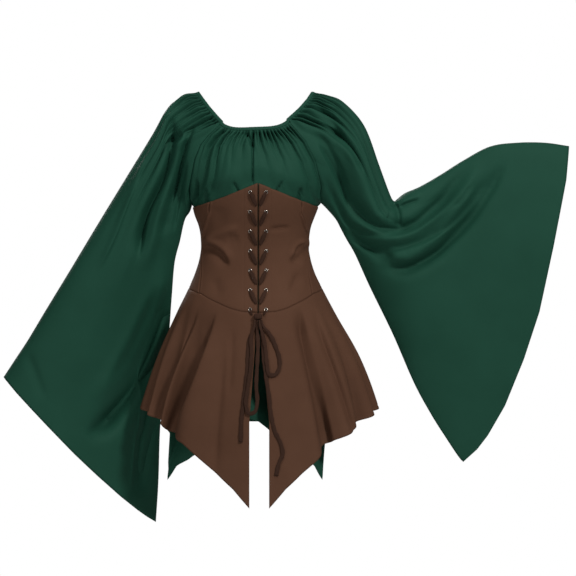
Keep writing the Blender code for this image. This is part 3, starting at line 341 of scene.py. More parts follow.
BACK_CREASES = [
    Crease(-0.0050, 0.006, 0.014, 0.25, [(-0.120, 0.360), (-0.080, 0.372), (-0.040, 0.390)]),
    Crease(0.0035, 0.008, 0.010, 0.25, [(-0.110, 0.340), (-0.060, 0.335), (-0.010, 0.345)]),
    Crease(-0.0050, 0.006, 0.014, 0.25, [(0.044, 0.384), (0.080, 0.368), (0.120, 0.352)]),
    Crease(-0.0035, 0.010, 0.012, 0.3, [(0.020, 0.330), (0.060, 0.340), (0.100, 0.330)]),
]
PEPLUM_CREASES = [
    Crease(-0.0350, 0.007, 0.030, 0.27, [(-0.090, 0.505), (-0.128, 0.612), (-0.168, 0.724), (-0.193, 0.799), (-0.235, 0.920)]),
    Crease(0.0100, 0.040, 0.007, 0.28, [(-0.084, 0.512), (-0.119, 0.612), (-0.158, 0.724), (-0.182, 0.799), (-0.220, 0.920)]),
    Crease(-0.0190, 0.005, 0.018, 0.16, [(0.102, 0.500), (0.125, 0.600), (0.150, 0.700), (0.1716, 0.799), (0.195, 0.910)]),
    Crease(-0.0170, 0.006, 0.022, 0.25, [(-0.130, 0.500), (-0.175, 0.600), (-0.215, 0.700), (-0.245, 0.800)]),
    Crease(-0.0110, 0.005, 0.014, 0.25, [(0.135, 0.500), (0.170, 0.600), (0.205, 0.700), (0.235, 0.790), (0.255, 0.850)]),
    Crease(-0.0050, 0.010, 0.014, 0.30, [(-0.070, 0.560), (-0.078, 0.680), (-0.088, 0.800), (-0.092, 0.930)]),
    Crease(-0.0030, 0.008, 0.008, 0.25, [(-0.052, 0.540), (-0.054, 0.620), (-0.060, 0.720)]),
]
PEPLUM_BACK_CREASES = [
    Crease(-0.0180, 0.006, 0.018, 0.20, [(-0.150, 0.480), (-0.185, 0.570), (-0.215, 0.660), (-0.240, 0.760)]),
    Crease(-0.0160, 0.006, 0.020, 0.25, [(-0.088, 0.480), (-0.108, 0.570), (-0.128, 0.670), (-0.146, 0.800)]),
    Crease(-0.0150, 0.018, 0.006, 0.25, [(-0.020, 0.490), (-0.026, 0.590), (-0.032, 0.700), (-0.036, 0.840)]),
    Crease(-0.0170, 0.006, 0.018, 0.22, [(0.050, 0.480), (0.064, 0.580), (0.078, 0.690), (0.092, 0.830)]),
    Crease(-0.0180, 0.018, 0.006, 0.25, [(0.118, 0.480), (0.150, 0.570), (0.178, 0.660), (0.205, 0.780)]),
]
RIGHT_CREASES = [
    Crease(-0.0150, 0.004, 0.008, 0.20, [(-0.138, 0.075), (-0.155, 0.113), (-0.174, 0.188), (-0.200, 0.275)]),
    Crease(-0.0190, 0.005, 0.009, 0.20, [
        (-0.1935, 0.055), (-0.1915, 0.113), (-0.2138, 0.207), (-0.250, 0.282), (-0.275, 0.400),
    ]),
    Crease(-0.0080, 0.004, 0.007, 0.20, [(-0.158, 0.160), (-0.167, 0.207), (-0.181, 0.270), (-0.192, 0.335)]),
    Crease(0.0065, 0.0045, 0.009, 0.20, [(-0.250, 0.135), (-0.293, 0.250), (-0.333, 0.352), (-0.369, 0.423)]),
    Crease(0.0035, 0.012, 0.020, 0.3, [(-0.222, 0.150), (-0.252, 0.260), (-0.290, 0.380), (-0.340, 0.500)]),
    Crease(-0.0100, 0.014, 0.012, 0.25, [(-0.222, 0.450), (-0.262, 0.540), (-0.300, 0.616), (-0.345, 0.700)]),
    Crease(-0.0040, 0.010, 0.014, 0.3, [(-0.540, 0.600), (-0.515, 0.660), (-0.490, 0.730)]),
    Crease(0.0060, 0.012, 0.012, 0.3, [(-0.206, 0.420), (-0.226, 0.500), (-0.250, 0.580)]),
    Crease(-0.0320, 0.018, 0.022, 0.3, [(-0.228, 0.690), (-0.256, 0.780), (-0.272, 0.860), (-0.278, 0.960)]),
    Crease(-0.0420, 0.020, 0.010, 0.22, [(-0.205, 0.500), (-0.2385, 0.600), (-0.296, 0.705), (-0.348, 0.765), (-0.400, 0.815)]),
]
LEFT_CREASES = [
    Crease(-0.0100, 0.007, 0.004, 0.20, [(0.148, 0.120), (0.180, 0.176), (0.207, 0.233), (0.224, 0.280)]),
    Crease(-0.0090, 0.004, 0.007, 0.20, [(0.155, 0.070), (0.2115, 0.1175), (0.235, 0.150), (0.256, 0.200)]),
    Crease(-0.0090, 0.014, 0.0045, 0.15, [
        (0.300, 0.412), (0.380, 0.405), (0.435, 0.374), (0.488, 0.327), (0.531, 0.270), (0.568, 0.205), (0.590, 0.150),
    ]),
    Crease(-0.0090, 0.012, 0.0045, 0.15, [
        (0.205, 0.330), (0.232, 0.352), (0.280, 0.371), (0.341, 0.367), (0.435, 0.329), (0.505, 0.263), (0.552, 0.190),
    ]),
    Crease(-0.0080, 0.010, 0.0045, 0.15, [
        (0.160, 0.190), (0.188, 0.262), (0.223, 0.318), (0.294, 0.338), (0.369, 0.320), (0.435, 0.273), (0.477, 0.230),
    ]),
    Crease(-0.0100, 0.005, 0.008, 0.2, [(0.326, 0.257), (0.336, 0.282), (0.338, 0.305), (0.336, 0.322)]),
    Crease(-0.0050, 0.004, 0.006, 0.25, [(0.336, 0.272), (0.360, 0.262), (0.386, 0.254)]),
    Crease(0.0050, 0.008, 0.006, 0.25, [(0.336, 0.262), (0.362, 0.251), (0.392, 0.241)]),
    Crease(-0.0045, 0.004, 0.004, 0.2, [(0.4646, 0.275), (0.496, 0.235), (0.505, 0.216)]),
    Crease(-0.0060, 0.010, 0.012, 0.2, [(0.136, 0.030), (0.168, 0.060), (0.190, 0.087), (0.205, 0.122)]),
    Crease(-0.0080, 0.008, 0.010, 0.2, [(0.132, 0.099), (0.156, 0.113), (0.179, 0.148), (0.198, 0.188), (0.214, 0.230)]),
    Crease(-0.0050, 0.008, 0.010, 0.2, [(0.132, 0.019), (0.168, 0.050), (0.195, 0.085)]),
    Crease(-0.0060, 0.004, 0.010, 0.2, [(0.213, 0.315), (0.236, 0.340), (0.263, 0.361), (0.294, 0.378), (0.330, 0.380)]),
    Crease(-0.0080, 0.006, 0.012, 0.2, [
        (0.213, 0.239), (0.236, 0.275), (0.263, 0.302), (0.294, 0.319), (0.338, 0.322), (0.375, 0.306), (0.415, 0.272),
        (0.442, 0.248), (0.469, 0.212),
    ]),
    Crease(-0.0060, 0.006, 0.014, 0.2, [
        (0.300, 0.410), (0.357, 0.412), (0.392, 0.397), (0.429, 0.374), (0.465, 0.334), (0.500, 0.296), (0.528, 0.251),
    ]),
]

# The flat cut of a cloth piece: width, length, area, how it is held, and on what
Sheet = namedtuple("Sheet", "width length area held rests_on")

# Studio
AIM = (0.0776, 0.0, -0.4606)
CAMERA_DISTANCE = 12.0
FRAME_WIDTH = 1.3536
WORLD_LIGHT = 0.13
LIGHTS = [
    ("key light", (2.9, -4.4, 3.2), 1.0, 238.0),
    ("fill light", (-3.4, -4.8, 0.8), 2.4, 66.0),
    ("back light", (-2.0, 5.2, 2.6), 2.4, 230.0),
    ("top light", (0.2, -1.4, 3.4), 1.2, 40.0),
]


def eased(x):
    """A smooth step from 0 to 1."""
    x = np.clip(x, 0, 1)
    return x * x * (3 - 2 * x)


def through(knots, values, at):
    """A smooth curve through the values, which may be vectors, read at each of the given places."""
    knots, values = np.asarray(knots, float), np.asarray(values, float)
    slopes = np.gradient(values, knots, axis=0)
    at = np.clip(at, knots[0], knots[-1])
    i = np.clip(np.searchsorted(knots, at) - 1, 0, len(knots) - 2)
    span = (knots[i + 1] - knots[i]).reshape(np.shape(i) + (1,) * (values.ndim - 1))
    t = (at - knots[i]).reshape(span.shape) / span
    return (
        (2 * t**3 - 3 * t**2 + 1) * values[i]
        + (t**3 - 2 * t**2 + t) * span * slopes[i]
        + (3 * t**2 - 2 * t**3) * values[i + 1]
        + (t**3 - t**2) * span * slopes[i + 1]
    )


def edge_at(edges, angle):
    """The drop of an edge that runs round the body. Those of the corset are centred on its lacing."""
    centre = LACING_TURN if edges in (CORSET_TOP, WAIST_SEAM) else 0
    away = np.abs((np.asarray(angle) - centre + 180) % 360 - 180)
    return np.interp(away, [e.angle for e in edges], [e.drop for e in edges])


def ring_at(rings, drop):
    """The centre, half width and the two depths of a ring at each drop."""
    table = np.array(rings)
    return np.moveaxis(through(table[:, 0], table[:, 1:], drop), -1, 0)


def round_body(rings, angle, drop, out=0.0):
    """Points on the rings at these angles and drops, moved out. 0 degrees is the front, 90 the wearer's left."""
    centre, half, front, back = ring_at(rings, drop)
    turn = np.radians(angle)
    depth = np.where(np.cos(turn) > 0, front, back)
    return np.stack([centre + (half + out) * np.sin(turn), -(depth + out) * np.cos(turn), -drop], -1)


def blousing(angle, drop):
    """How far the chemise stands off the body's rings: inside the corset, and puffed out above its edge."""
    above = edge_at(CORSET_TOP, angle) - drop
    inset = CHEMISE_INSET + (FRONT_INSET - CHEMISE_INSET) * eased((34 - np.abs(angle)) / 20)
    return -inset + (inset + BLOUSING) * eased((above - 0.003) / BLOUSING_HEIGHT)


def angle_at(x, drop):
    """The angle on the chemise at which a point seen from the front at x and drop lies."""
    centre, half, _, _ = ring_at(BODY, drop)
    return np.degrees(np.arcsin(np.clip((x - centre) / (half + BLOUSING), -1, 1)))


def armhole_at(armhole, along):
    """The angle and the drop along a sleeve's neck edge and raglan seam."""
    table = np.array(armhole)
    x, drop = (np.interp(along, table[:, 0], table[:, k]) for k in (1, 2))
    return angle_at(x, drop), drop


def scatter(i):
    """A fixed number from 0 to 1 for each whole number."""
    return np.modf(np.abs(np.sin(i * 12.9898) * 43758.5453))[0]


def gathers(count, away):
    """The height of gathers that run down from an edge: count numbers them, away is the distance from it."""
    length = GATHER_LENGTH * (0.55 + 0.9 * scatter(np.floor(count + 0.5)))
    rise = 0.35 + 0.65 * eased((away - CASING_HEIGHT) / 0.012)
    return GATHER_HEIGHT * rise * np.exp(-np.maximum(away - 0.02, 0) / length) * np.cos(2 * pi * count)


def fold_height(x, drop, folds):
    """The sum of the folds at points seen from the front at x and drop. Each fades out at both its ends."""
    points = np.stack([x, drop], -1)
    total = np.zeros(len(points))
    for fold in folds:
        line = np.array(fold.line)
        steps = np.linalg.norm(np.diff(line, axis=0), axis=1)
        starts = np.concatenate([[0], np.cumsum(steps)])
        nearest = np.full(len(points), np.inf)
        along = np.zeros(len(points))
        for start, end, step, run in zip(line[:-1], line[1:], steps, starts):
            share = np.clip((points - start) @ (end - start) / step**2, 0, 1)
            away = np.linalg.norm(points - start - share[:, None] * (end - start), axis=1)
            along = np.where(away < nearest, (run + share * step) / starts[-1], along)
            nearest = np.minimum(nearest, away)
        fade = eased(along / 0.18) * eased((1 - along) / 0.18)
        total += fold.height * fade * np.exp(-((nearest / fold.width) ** 2))
    return total


def flutes(troughs, angle):
    """The flutes round a skirt: 1 on a ridge, and less in the troughs between them."""
    height = np.ones(np.shape(angle))
    for trough in troughs:
        away = (angle - trough.angle + 180) % 360 - 180
        height = height - 2 * trough.depth * np.exp(-((away / trough.width) ** 2))
    return height


def chemise_side(armhole, v):
    """The angle and drop of a chemise panel's side edge. v is 0 at the neck, 1 at the corset's top edge."""
    angle, drop = armhole_at(armhole, CORNER + (1 - CORNER) * np.minimum(v / ARMPIT, 1))
    below = eased((v - ARMPIT) / (1 - ARMPIT))
    side = 90 if armhole[0].x > 0 else -90
    end = edge_at(CORSET_TOP, side)
    return angle + (side - angle) * below, drop + below * (end - armhole[-1].drop)


def chemise(u, v, behind):
    """Points on a chemise panel: u from the wearer's right (0) to left (1), v from the neck (0) past the
    corset's top edge (1) and the waist seam (2) to the hem (3). Returns the points and the gathers' heights."""
    right_angle, right_drop = chemise_side(RIGHT_ARMHOLE, v)
    left_angle, left_drop = chemise_side(LEFT_ARMHOLE, v)
    middle = 1 - (2 * u - 1) ** 4
    if behind:
        right_angle, left_angle = 180 - right_angle, 180 - left_angle
    angle = right_angle + (left_angle - right_angle) * u
    level = right_drop + (left_drop - right_drop) * u
    sides = edge_at(CORSET_TOP, right_angle) * (1 - u) + edge_at(CORSET_TOP, left_angle) * u
    droop = NECK_DROOP * middle * (1 - np.minimum(v, 1)) ** 2
    upper = level + droop + (edge_at(CORSET_TOP, angle) - sides) * eased(v)
    waist = edge_at(WAIST_SEAM, angle)
    under = edge_at(CORSET_TOP, angle) + (waist - edge_at(CORSET_TOP, angle)) * (v - 1)
    skirt = waist + (edge_at(CHEMISE_HEM, angle) - waist) * (v - 2)
    drop = np.select([v <= 1, v <= 2], [upper, under], skirt)
    body = round_body(BODY, angle, drop, blousing(angle, drop))
    swing = CHEMISE_FLUTE * np.clip(v - 2, 0, 1) * np.cos(np.radians(angle * 9))
    loose = round_body(CHEMISE_SKIRT, angle, drop, swing)
    points = np.where((v > 2)[:, None], loose, body)
    away = np.minimum(v, 1) * PANEL_LENGTH
    side = eased(np.minimum(u, 1 - u) / 0.04)
    height = gathers(u * FRONT_GATHERS, away) * side * (v < 1) * eased((1 - v) / 0.25)
    return points, height


def armhole_points(armhole, along, behind):
    """Points on a sleeve's neck edge and raglan seam, in front or behind. It stops short of the chemise's
    panels along the seam, and lies over them at the armpit."""
    angle, drop = armhole_at(armhole, along)
    under = eased((along - 0.70) / 0.25)
    gap = RAGLAN_GAP / 2 * (along > CORNER)
    angle = angle + np.sign(angle) * np.degrees(gap / 0.16) * (1 - under)
    angle = np.where(behind, 180 - angle, angle)
    return round_body(BODY, angle, drop, blousing(angle, drop) * eased(drop / 0.06) + 2 * gap * under)


def sleeve(sections, armhole, folds, s, t, behind):
    """Points on a sleeve: s from the neck (0) to the hem (1), t from the upper (0) to the lower edge (1). The
    folds stand out to the front, and less so to the back, and are shallow where the sleeve is thin."""
    table = np.array(sections)
    row = through(np.linspace(0, 1, len(table)), table, s)
    top, low = row[:, 0:2], row[:, 2:4]
    bow, front, back, top_y, low_y = row[:, 4:].T
    run = low - top
    across = np.stack([run[:, 1], -run[:, 0]], -1) / np.linalg.norm(run, axis=1)[:, None]
    across *= np.sign(table[-1, 0])
    seen = top + run * t[:, None] + across * (bow * np.interp(t, *zip(*BOW_SHAPE)))[:, None]
    half = np.where(behind, back, -front) * np.sin(pi * np.clip(t, 0, 1) ** FULL_AT).clip(0) ** FULLNESS
    body = np.stack([seen[:, 0], top_y + (low_y - top_y) * t**2.2 + half, -seen[:, 1]], -1)
    start = armhole_points(armhole, t, behind)
    first = table[0, 0:2] + (table[0, 2:4] - table[0, 0:2]) * t[:, None]
    fade = (1 - eased(s / ARMHOLE_BLEND))[:, None]
    moved = body + fade * np.stack([start[:, 0] - first[:, 0], np.zeros(len(s)), first[:, 1] + start[:, 2]], -1)
    moved[:, 1] = body[:, 1] * (1 - fade[:, 0]) + start[:, 1] * fade[:, 0]
    height = fold_height(moved[:, 0], -moved[:, 2], folds) * eased((s - 0.06) / 0.15)
    moved[:, 1] += height * np.minimum(np.abs(half) / FOLD_ROOM, 1) * np.where(behind, HIDDEN_FOLD_SHARE, -1.0)
    return moved


def sleeve_gathers(t, away):
    """The height of the gathers of a sleeve's neck edge."""
    return gathers(t / CORNER * SLEEVE_GATHERS, away) * eased((CORNER + 0.02 - t) / 0.04) * eased(t / 0.02)


def corset(angle, v):
    """Points on the corset: v from its top edge (0) to the waist seam (1)."""
    top, low = edge_at(CORSET_TOP, angle), edge_at(WAIST_SEAM, angle)
    return round_body(BODY, angle, top + (low - top) * v)


def peplum(angle, v):
    """Points on the peplum: v from the waist seam (0) to the hem (1)."""
    top, low = edge_at(WAIST_SEAM, angle), edge_at(PEPLUM_HEM, angle)
    drop = top + (low - top) * v
    grown = PEPLUM_FLUTE * np.clip((drop - top) / PEPLUM_FLARE, 0, 1.1) ** 1.3
    return round_body(BODY, angle, drop, grown * (flutes(PEPLUM_TROUGHS, angle) - 1) / 2)


def front_edge(side, drop):
    """The angle of the front edge of the corset or peplum, on the wearer's right (-1) or left (1)."""
    centre, half, _, _ = ring_at(BODY, drop)
    share = np.clip((drop - SLIT_TOP) / (SLIT_FULL - SLIT_TOP), 0, 1)
    x = LACING_X + (SLIT_X - LACING_X) * share + side * (LACING_GAP + (SLIT_WIDTH - LACING_GAP) * share) / 2
    return float(np.degrees(np.arcsin((x - centre) / half)))


def front_point(x, drop, lift):
    """A point in front of the corset or peplum, at x and drop and this far off it."""
    centre, half, front, _ = ring_at(BODY, drop)
    return np.array([x, -(front + lift) * np.sqrt(1 - ((x - centre) / half) ** 2), -drop])


def eyelet_place(side, k):
    """The x and the drop of an eyelet on the wearer's right (-1) or left (1)."""
    return LACING_X + side * EYELET_ASIDE, EYELET_TOP + EYELET_PITCH * k


# Fine forms of the cloth

def pleat_heights(place, away, count, depth, length, seed, spread=0.035):
    """The height of pleats that run down from a gathered edge. place tells how far along the edge each point
    lies, from 0 to 1, and away how far below it. Each pleat has a place, depth, slant and length of its own, and
    the cloth puffs out between them."""
    total = np.zeros(np.shape(place))
    for i in range(count):
        a, b, c, d, e = (scatter(seed + 7.0 * i + k) for k in (0.13, 1.71, 3.37, 5.11, 6.03))
        at = (i + 0.5 + 0.6 * (a - 0.5) + (e - 0.5) * away / 0.05) / count
        width = (0.12 + 0.10 * d) / count * (1 + away / spread)
        reach = length * (0.25 + 1.5 * b * b)
        fade = np.exp(-np.maximum(away - 0.018, 0) / reach) * (0.06 + 0.94 * eased((away - 0.0072) / 0.010))
        total -= depth * (0.45 + 0.85 * c) * fade * np.exp(-np.abs((place - at) / width) ** 1.6)
    puff = eased((away - 0.008) / 0.020) * np.exp(-np.maximum(away - 0.03, 0) / length)
    return total + 0.30 * depth * puff


def smooth_line(line, steps=8):
    """More points on a smooth curve through the points of a line."""
    line = np.array(line)
    knots = np.concatenate([[0], np.cumsum(np.linalg.norm(np.diff(line, axis=0), axis=1))])
    return through(knots, line, np.linspace(0, knots[-1], steps * (len(line) - 1) + 1))


def crease_height(x, drop, creases):
    """The sum of the creases at points seen from the front at x and drop. A crease has a half width of its own on
    either side of its line (above and below it, for a line drawn from left to right), and fades at both ends."""
    shape = np.shape(x)
    points = np.stack([np.ravel(x), np.ravel(drop)], -1)
    total = np.zeros(len(points))
    for crease in creases:
        line = smooth_line(crease.line)
        reach = 2.6 * max(crease.above, crease.below)
        near = np.nonzero(np.all((points > line.min(0) - reach) & (points < line.max(0) + reach), axis=1))[0]
        here = points[near]
        run = np.concatenate([[0], np.cumsum(np.linalg.norm(np.diff(line, axis=0), axis=1))])
        nearest = np.full(len(here), np.inf)
        along = np.zeros(len(here))
        under = np.zeros(len(here), bool)
        for start, end, begin in zip(line[:-1], line[1:], run):
            step = end - start
            length = np.linalg.norm(step)
            share = np.clip((here - start) @ step / length**2, 0, 1)
            gap = here - start - share[:, None] * step
            away = np.linalg.norm(gap, axis=1)
            closer = away < nearest
            along = np.where(closer, (begin + share * length) / run[-1], along)
            under = np.where(closer, step[0] * gap[:, 1] - step[1] * gap[:, 0] > 0, under)
            nearest = np.minimum(nearest, away)
        width = np.where(under, crease.below, crease.above)
        fade = eased(along / crease.fade) * eased((1 - along) / crease.fade)
        total[near] += crease.height * fade * np.exp(-((nearest / width) ** 2))
    return total.reshape(shape)


# Meshes


def grid_normals(points, closed):
    """Unit normals of a grid of points, to the right of its columns as its rows go on."""
    if closed:
        across = np.roll(points, -1, axis=1) - np.roll(points, 1, axis=1)
    else:
        across = np.gradient(points, axis=1)
    down = np.gradient(points, axis=0)
    normals = np.cross(across, down)
    return normals / np.maximum(np.linalg.norm(normals, axis=2, keepdims=True), 1e-12)


def outward_normals(points, closed=False):
    """Unit normals of a grid of points that point away from its middle, or for an open grid from the body's axis."""
    normals = grid_normals(points, closed)
    middle = points.mean(axis=1, keepdims=True) if closed else np.zeros(3)
    away = np.sum((normals * (points - middle))[:, :, :None if closed else 2], axis=2)
    return normals if away.mean() > 0 else -normals


def grid_mesh(name, points, paint, closed=False, flip=False):
    """A mesh through a grid of points, with its measures in metres as UVs so that weaves have their real size."""
    rows, columns, _ = points.shape
    wide = columns if closed else columns - 1
    i, j = np.meshgrid(np.arange(rows - 1), np.arange(wide), indexing="ij")
    k = (j + 1) % columns
    corners = [i * columns + j, i * columns + k, (i + 1) * columns + k, (i + 1) * columns + j]
    faces = np.stack([c.ravel() for c in corners], -1)
    ring = np.concatenate([points, points[:, :1]], axis=1) if closed else points
    u = np.cumsum(np.linalg.norm(np.diff(ring, axis=1, prepend=ring[:, :1]), axis=2), axis=1)
    u = u - u[:, ring.shape[1] // 2 : ring.shape[1] // 2 + 1]
    v = np.cumsum(np.linalg.norm(np.diff(ring, axis=0, prepend=ring[:1]), axis=2), axis=0)
    uv = np.stack([np.stack([u[a, b], v[a, b]], -1) for a, b in ((i, j), (i, j + 1), (i + 1, j + 1), (i + 1, j))], 2)
    uv = uv.reshape(-1, 4, 2)
    if flip:
        faces, uv = faces[:, ::-1], uv[:, ::-1]
    mesh = bpy.data.meshes.new(name)
    mesh.vertices.add(rows * columns)
    mesh.vertices.foreach_set("co", points.astype(np.float32).ravel())
    mesh.loops.add(faces.size)
    mesh.loops.foreach_set("vertex_index", faces.astype(np.int32).ravel())
    mesh.polygons.add(len(faces))
    mesh.polygons.foreach_set("loop_start", np.arange(0, faces.size, 4, dtype=np.int32))
    mesh.update(calc_edges=True)
    layer = mesh.uv_layers.new(name="cloth")
    layer.data.foreach_set("uv", uv.astype(np.float32).ravel())
    mesh.materials.append(paint)
    mesh.shade_smooth()
    piece = bpy.data.objects.new(name, mesh)
    bpy.context.scene.collection.objects.link(piece)
    return piece


def thicken(piece, thickness):
    """Gives a cloth piece its thickness, half to either side."""
    solidify = piece.modifiers.new("cloth", "SOLIDIFY")
    solidify.thickness = thickness
    solidify.offset = 0
    return piece


def dress(piece, node):
    """Puts a piece in place of a node of the part."""
    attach(piece, "root")
    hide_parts(node)
    return piece


# Materials


def cloth_paint(name, colour, dark, roughness, weave, relief, specular):
    """Woven cloth: its colour varies a little, and warp and weft stand up as a fine relief."""
    made = bpy.data.materials.new(name)
    made.use_nodes = True
    nodes, links = made.node_tree.nodes, made.node_tree.links
    shader = nodes["Principled BSDF"]
    shader.inputs["Roughness"].default_value = roughness
    shader.inputs["Specular IOR Level"].default_value = specular
    where = nodes.new("ShaderNodeTexCoord")
    blotches = nodes.new("ShaderNodeTexNoise")
    blotches.inputs["Scale"].default_value = 9.0
    blotches.inputs["Detail"].default_value = 3.0
    links.new(where.outputs["Object"], blotches.inputs["Vector"])
    threads = []
    for turn in ("X", "Y"):
        thread = nodes.new("ShaderNodeTexWave")
        thread.bands_direction = turn
        thread.inputs["Scale"].default_value = weave
        thread.inputs["Distortion"].default_value = 1.2
        thread.inputs["Detail"].default_value = 1.0
        thread.inputs["Detail Scale"].default_value = 0.6
        links.new(where.outputs["UV"], thread.inputs["Vector"])
        threads.append(thread)
    both = nodes.new("ShaderNodeMath")
    both.operation = "MULTIPLY"
    links.new(threads[0].outputs["Fac"], both.inputs[0])
    links.new(threads[1].outputs["Fac"], both.inputs[1])
    share = nodes.new("ShaderNodeMapRange")
    share.inputs["From Min"].default_value = 0.30
    share.inputs["From Max"].default_value = 0.70
    links.new(blotches.outputs["Fac"], share.inputs["Value"])
    mix = nodes.new("ShaderNodeMix")
    mix.data_type = "RGBA"
    mix.inputs["A"].default_value = (*dark, 1)
    mix.inputs["B"].default_value = (*colour, 1)
    links.new(share.outputs["Result"], mix.inputs["Factor"])
    links.new(mix.outputs["Result"], shader.inputs["Base Color"])
    bump = nodes.new("ShaderNodeBump")
    bump.inputs["Strength"].default_value = relief
    bump.inputs["Distance"].default_value = 0.0004
    links.new(both.outputs["Value"], bump.inputs["Height"])
    links.new(bump.outputs["Normal"], shader.inputs["Normal"])
    return made


def plain_paint(name, colour, roughness, metallic=0.0):
    """A plain material."""
    made = bpy.data.materials.new(name)
    made.use_nodes = True
    shader = made.node_tree.nodes["Principled BSDF"]
    shader.inputs["Base Color"].default_value = (*colour, 1)
    shader.inputs["Roughness"].default_value = roughness
    shader.inputs["Metallic"].default_value = metallic
    return made


GREEN = cloth_paint("green weave", (0.0110, 0.0600, 0.0370), (0.0090, 0.0530, 0.0320), 0.70, 300.0, 0.25, 0.12)
BROWN = cloth_paint("brown weave", (0.0960, 0.0450, 0.0260), (0.0830, 0.0380, 0.0215), 0.80, 240.0, 0.35, 0.10)
LACE = cloth_paint("lace weave", (0.0450, 0.0205, 0.0125), (0.0330, 0.0150, 0.0090), 0.80, 500.0, 0.50, 0.12)
METAL = plain_paint("worn metal", (0.46, 0.41, 0.36), 0.24, 1.0)
# Near-black paint for the disks across the eyelets' openings: painted shade.
SHADE = plain_paint("eyelet hole", (0.006, 0.004, 0.003), 0.9)
PALE = plain_paint("pale floor", (0.60, 0.60, 0.60), 0.9)


# The chemise


def build_chemise(name, behind):
    """The front or back of the chemise. Its neck edge is gathered, and small tucks rise from the corset."""
    start = 0.0070 / PANEL_LENGTH
    v = np.concatenate([
        start + (0.30 - start) * np.linspace(0, 1, 34), np.linspace(0.30, 1.0, 34)[1:], np.linspace(1.0, 2.0, 14)[1:],
        np.linspace(2.0, 3.0, 32)[1:],
    ])
    u = np.linspace(0, 1, 301)
    tucked = 0.0085 * eased(v / 0.02) * eased((ARMPIT + 0.02 - v) / 0.03) * (v < ARMPIT + 0.02)
    seam = (0.0002 - tucked) / np.interp(v, *zip(*PANEL_WIDTH))
    u, v = np.meshgrid(u, v)
    u = seam[:, None] + (1 - 2 * seam[:, None]) * u
    shape = u.shape
    points = chemise(u.ravel(), v.ravel(), behind)[0].reshape(shape + (3,))
    normals = outward_normals(points)
    away = np.minimum(v, 1) * PANEL_LENGTH
    side = eased(np.minimum(u, 1 - u) / 0.03)
    height = pleat_heights(u, away, 22, 0.0150, 0.095, 11.0 if behind else 3.0)
    height *= side * eased((1 - v) / 0.20) * (v < 1)
    x, drop = points[:, :, 0], -points[:, :, 2]
    if not behind:
        height += crease_height(x, drop, FRONT_CREASES)
    else:
        height += HIDDEN_FOLD_SHARE * crease_height(-x, drop, FRONT_CREASES[1:])
    edge = np.minimum(u, 1 - u) * np.interp(v, *zip(*PANEL_WIDTH))
    height -= 0.0014 * np.where(edge < 0, 1.0, np.exp(-((edge / 0.0022) ** 2))) * (v < ARMPIT + 0.02)
    height += ARMPIT_PUFF * np.exp(-((edge / 0.020) ** 2)) * eased((v - 0.80) / 0.12) * eased((1.0 - v) / 0.05)
    height -= UNDER_CORSET * eased((v - 1.0) / 0.06) * eased((2.06 - v) / 0.06)
    height -= 0.024 * eased((v - 2.08) / 0.25) * eased((2.96 - v) / 0.25)
    points = points + normals * height[:, :, None]
    piece = grid_mesh(name + "_cloth", points, GREEN, flip=not behind)
    return dress(piece, name)


# The sleeves


def build_sleeve(name, sections, armhole, folds, creases, seed):
    """A raglan bell sleeve, gathered along its neck edge, with a narrow hem turned in."""
    casing = 0.0070 / SLEEVE_LENGTH
    s = np.concatenate([
        0.0 + 0.16 * np.linspace(0, 1, 40), np.linspace(0.16, 0.70, 76)[1:], np.linspace(0.70, 1.0, 34)[1:],
    ])
    neck = CORNER * np.linspace(0, 1, 126)[:-1]
    low = CORNER + (1 - CORNER) * np.linspace(0, 1, 112)[:-1]
    front = np.concatenate([neck, low])
    t = np.concatenate([front, [1.0], front[:0:-1]])
    behind = np.arange(len(t)) > len(front)
    rows, gathers_on = [], []
    for along in s:
        fade = 1 - eased((t - CORNER) / 0.06)
        place = along + casing * fade * (1 - eased(along / 0.12))
        row = sleeve(sections, armhole, folds, place, t, behind)
        away = np.linalg.norm(row - armhole_points(armhole, t, behind), axis=1)
        rows.append(row)
        gathers_on.append(away)
    points, away = np.array(rows), np.array(gathers_on)
    normals = outward_normals(points, closed=True)
    height = np.zeros(away.shape)
    for hidden in (False, True):
        here = behind == hidden
        place = t[here] / CORNER
        pleats = pleat_heights(np.broadcast_to(place, away[:, here].shape), away[:, here], 13, 0.0220, 0.120,
                               seed + 50.0 * hidden)
        height[:, here] = pleats * eased((1.35 - place) / 0.30) * eased(place / 0.04)
        puff = SHOULDER_PUFF if sections[0].top_x < 0 else -0.0010
        height[:, here] += puff * np.exp(-((place / 0.35) ** 2)) * np.exp(
            -(((away[:, here] - 0.034) / 0.020) ** 2))
    points = points + normals * height[:, :, None]
    bend = crease_height(points[:, :, 0], -points[:, :, 2], creases)
    depth = np.abs(points[:, :, 1] - 0.5 * (points[:, :1, 1] + points[:, len(front):len(front) + 1, 1]))
    room = np.minimum(depth / FOLD_ROOM, 1) ** 0.5
    points[:, :, 1] += bend * np.where(behind, HIDDEN_FOLD_SHARE, -1.0) * room
    hem = []
    centre = points[-1].mean(axis=0)
    for inward, back in ((0.0012, 0.0004), (0.0018, 0.004), (0.0018, 0.022)):
        into = normals[-1] * -inward + (points[-8] - points[-1]) * back / np.linalg.norm(
            points[-8] - points[-1], axis=1)[:, None]
        hem.append(points[-1] + into)
    points = np.concatenate([points, np.array(hem)])
    piece = grid_mesh(name + "_cloth", points, GREEN, closed=True, flip=sections[0].top_x > 0)
    return dress(piece, name)


# The casing round the neckline


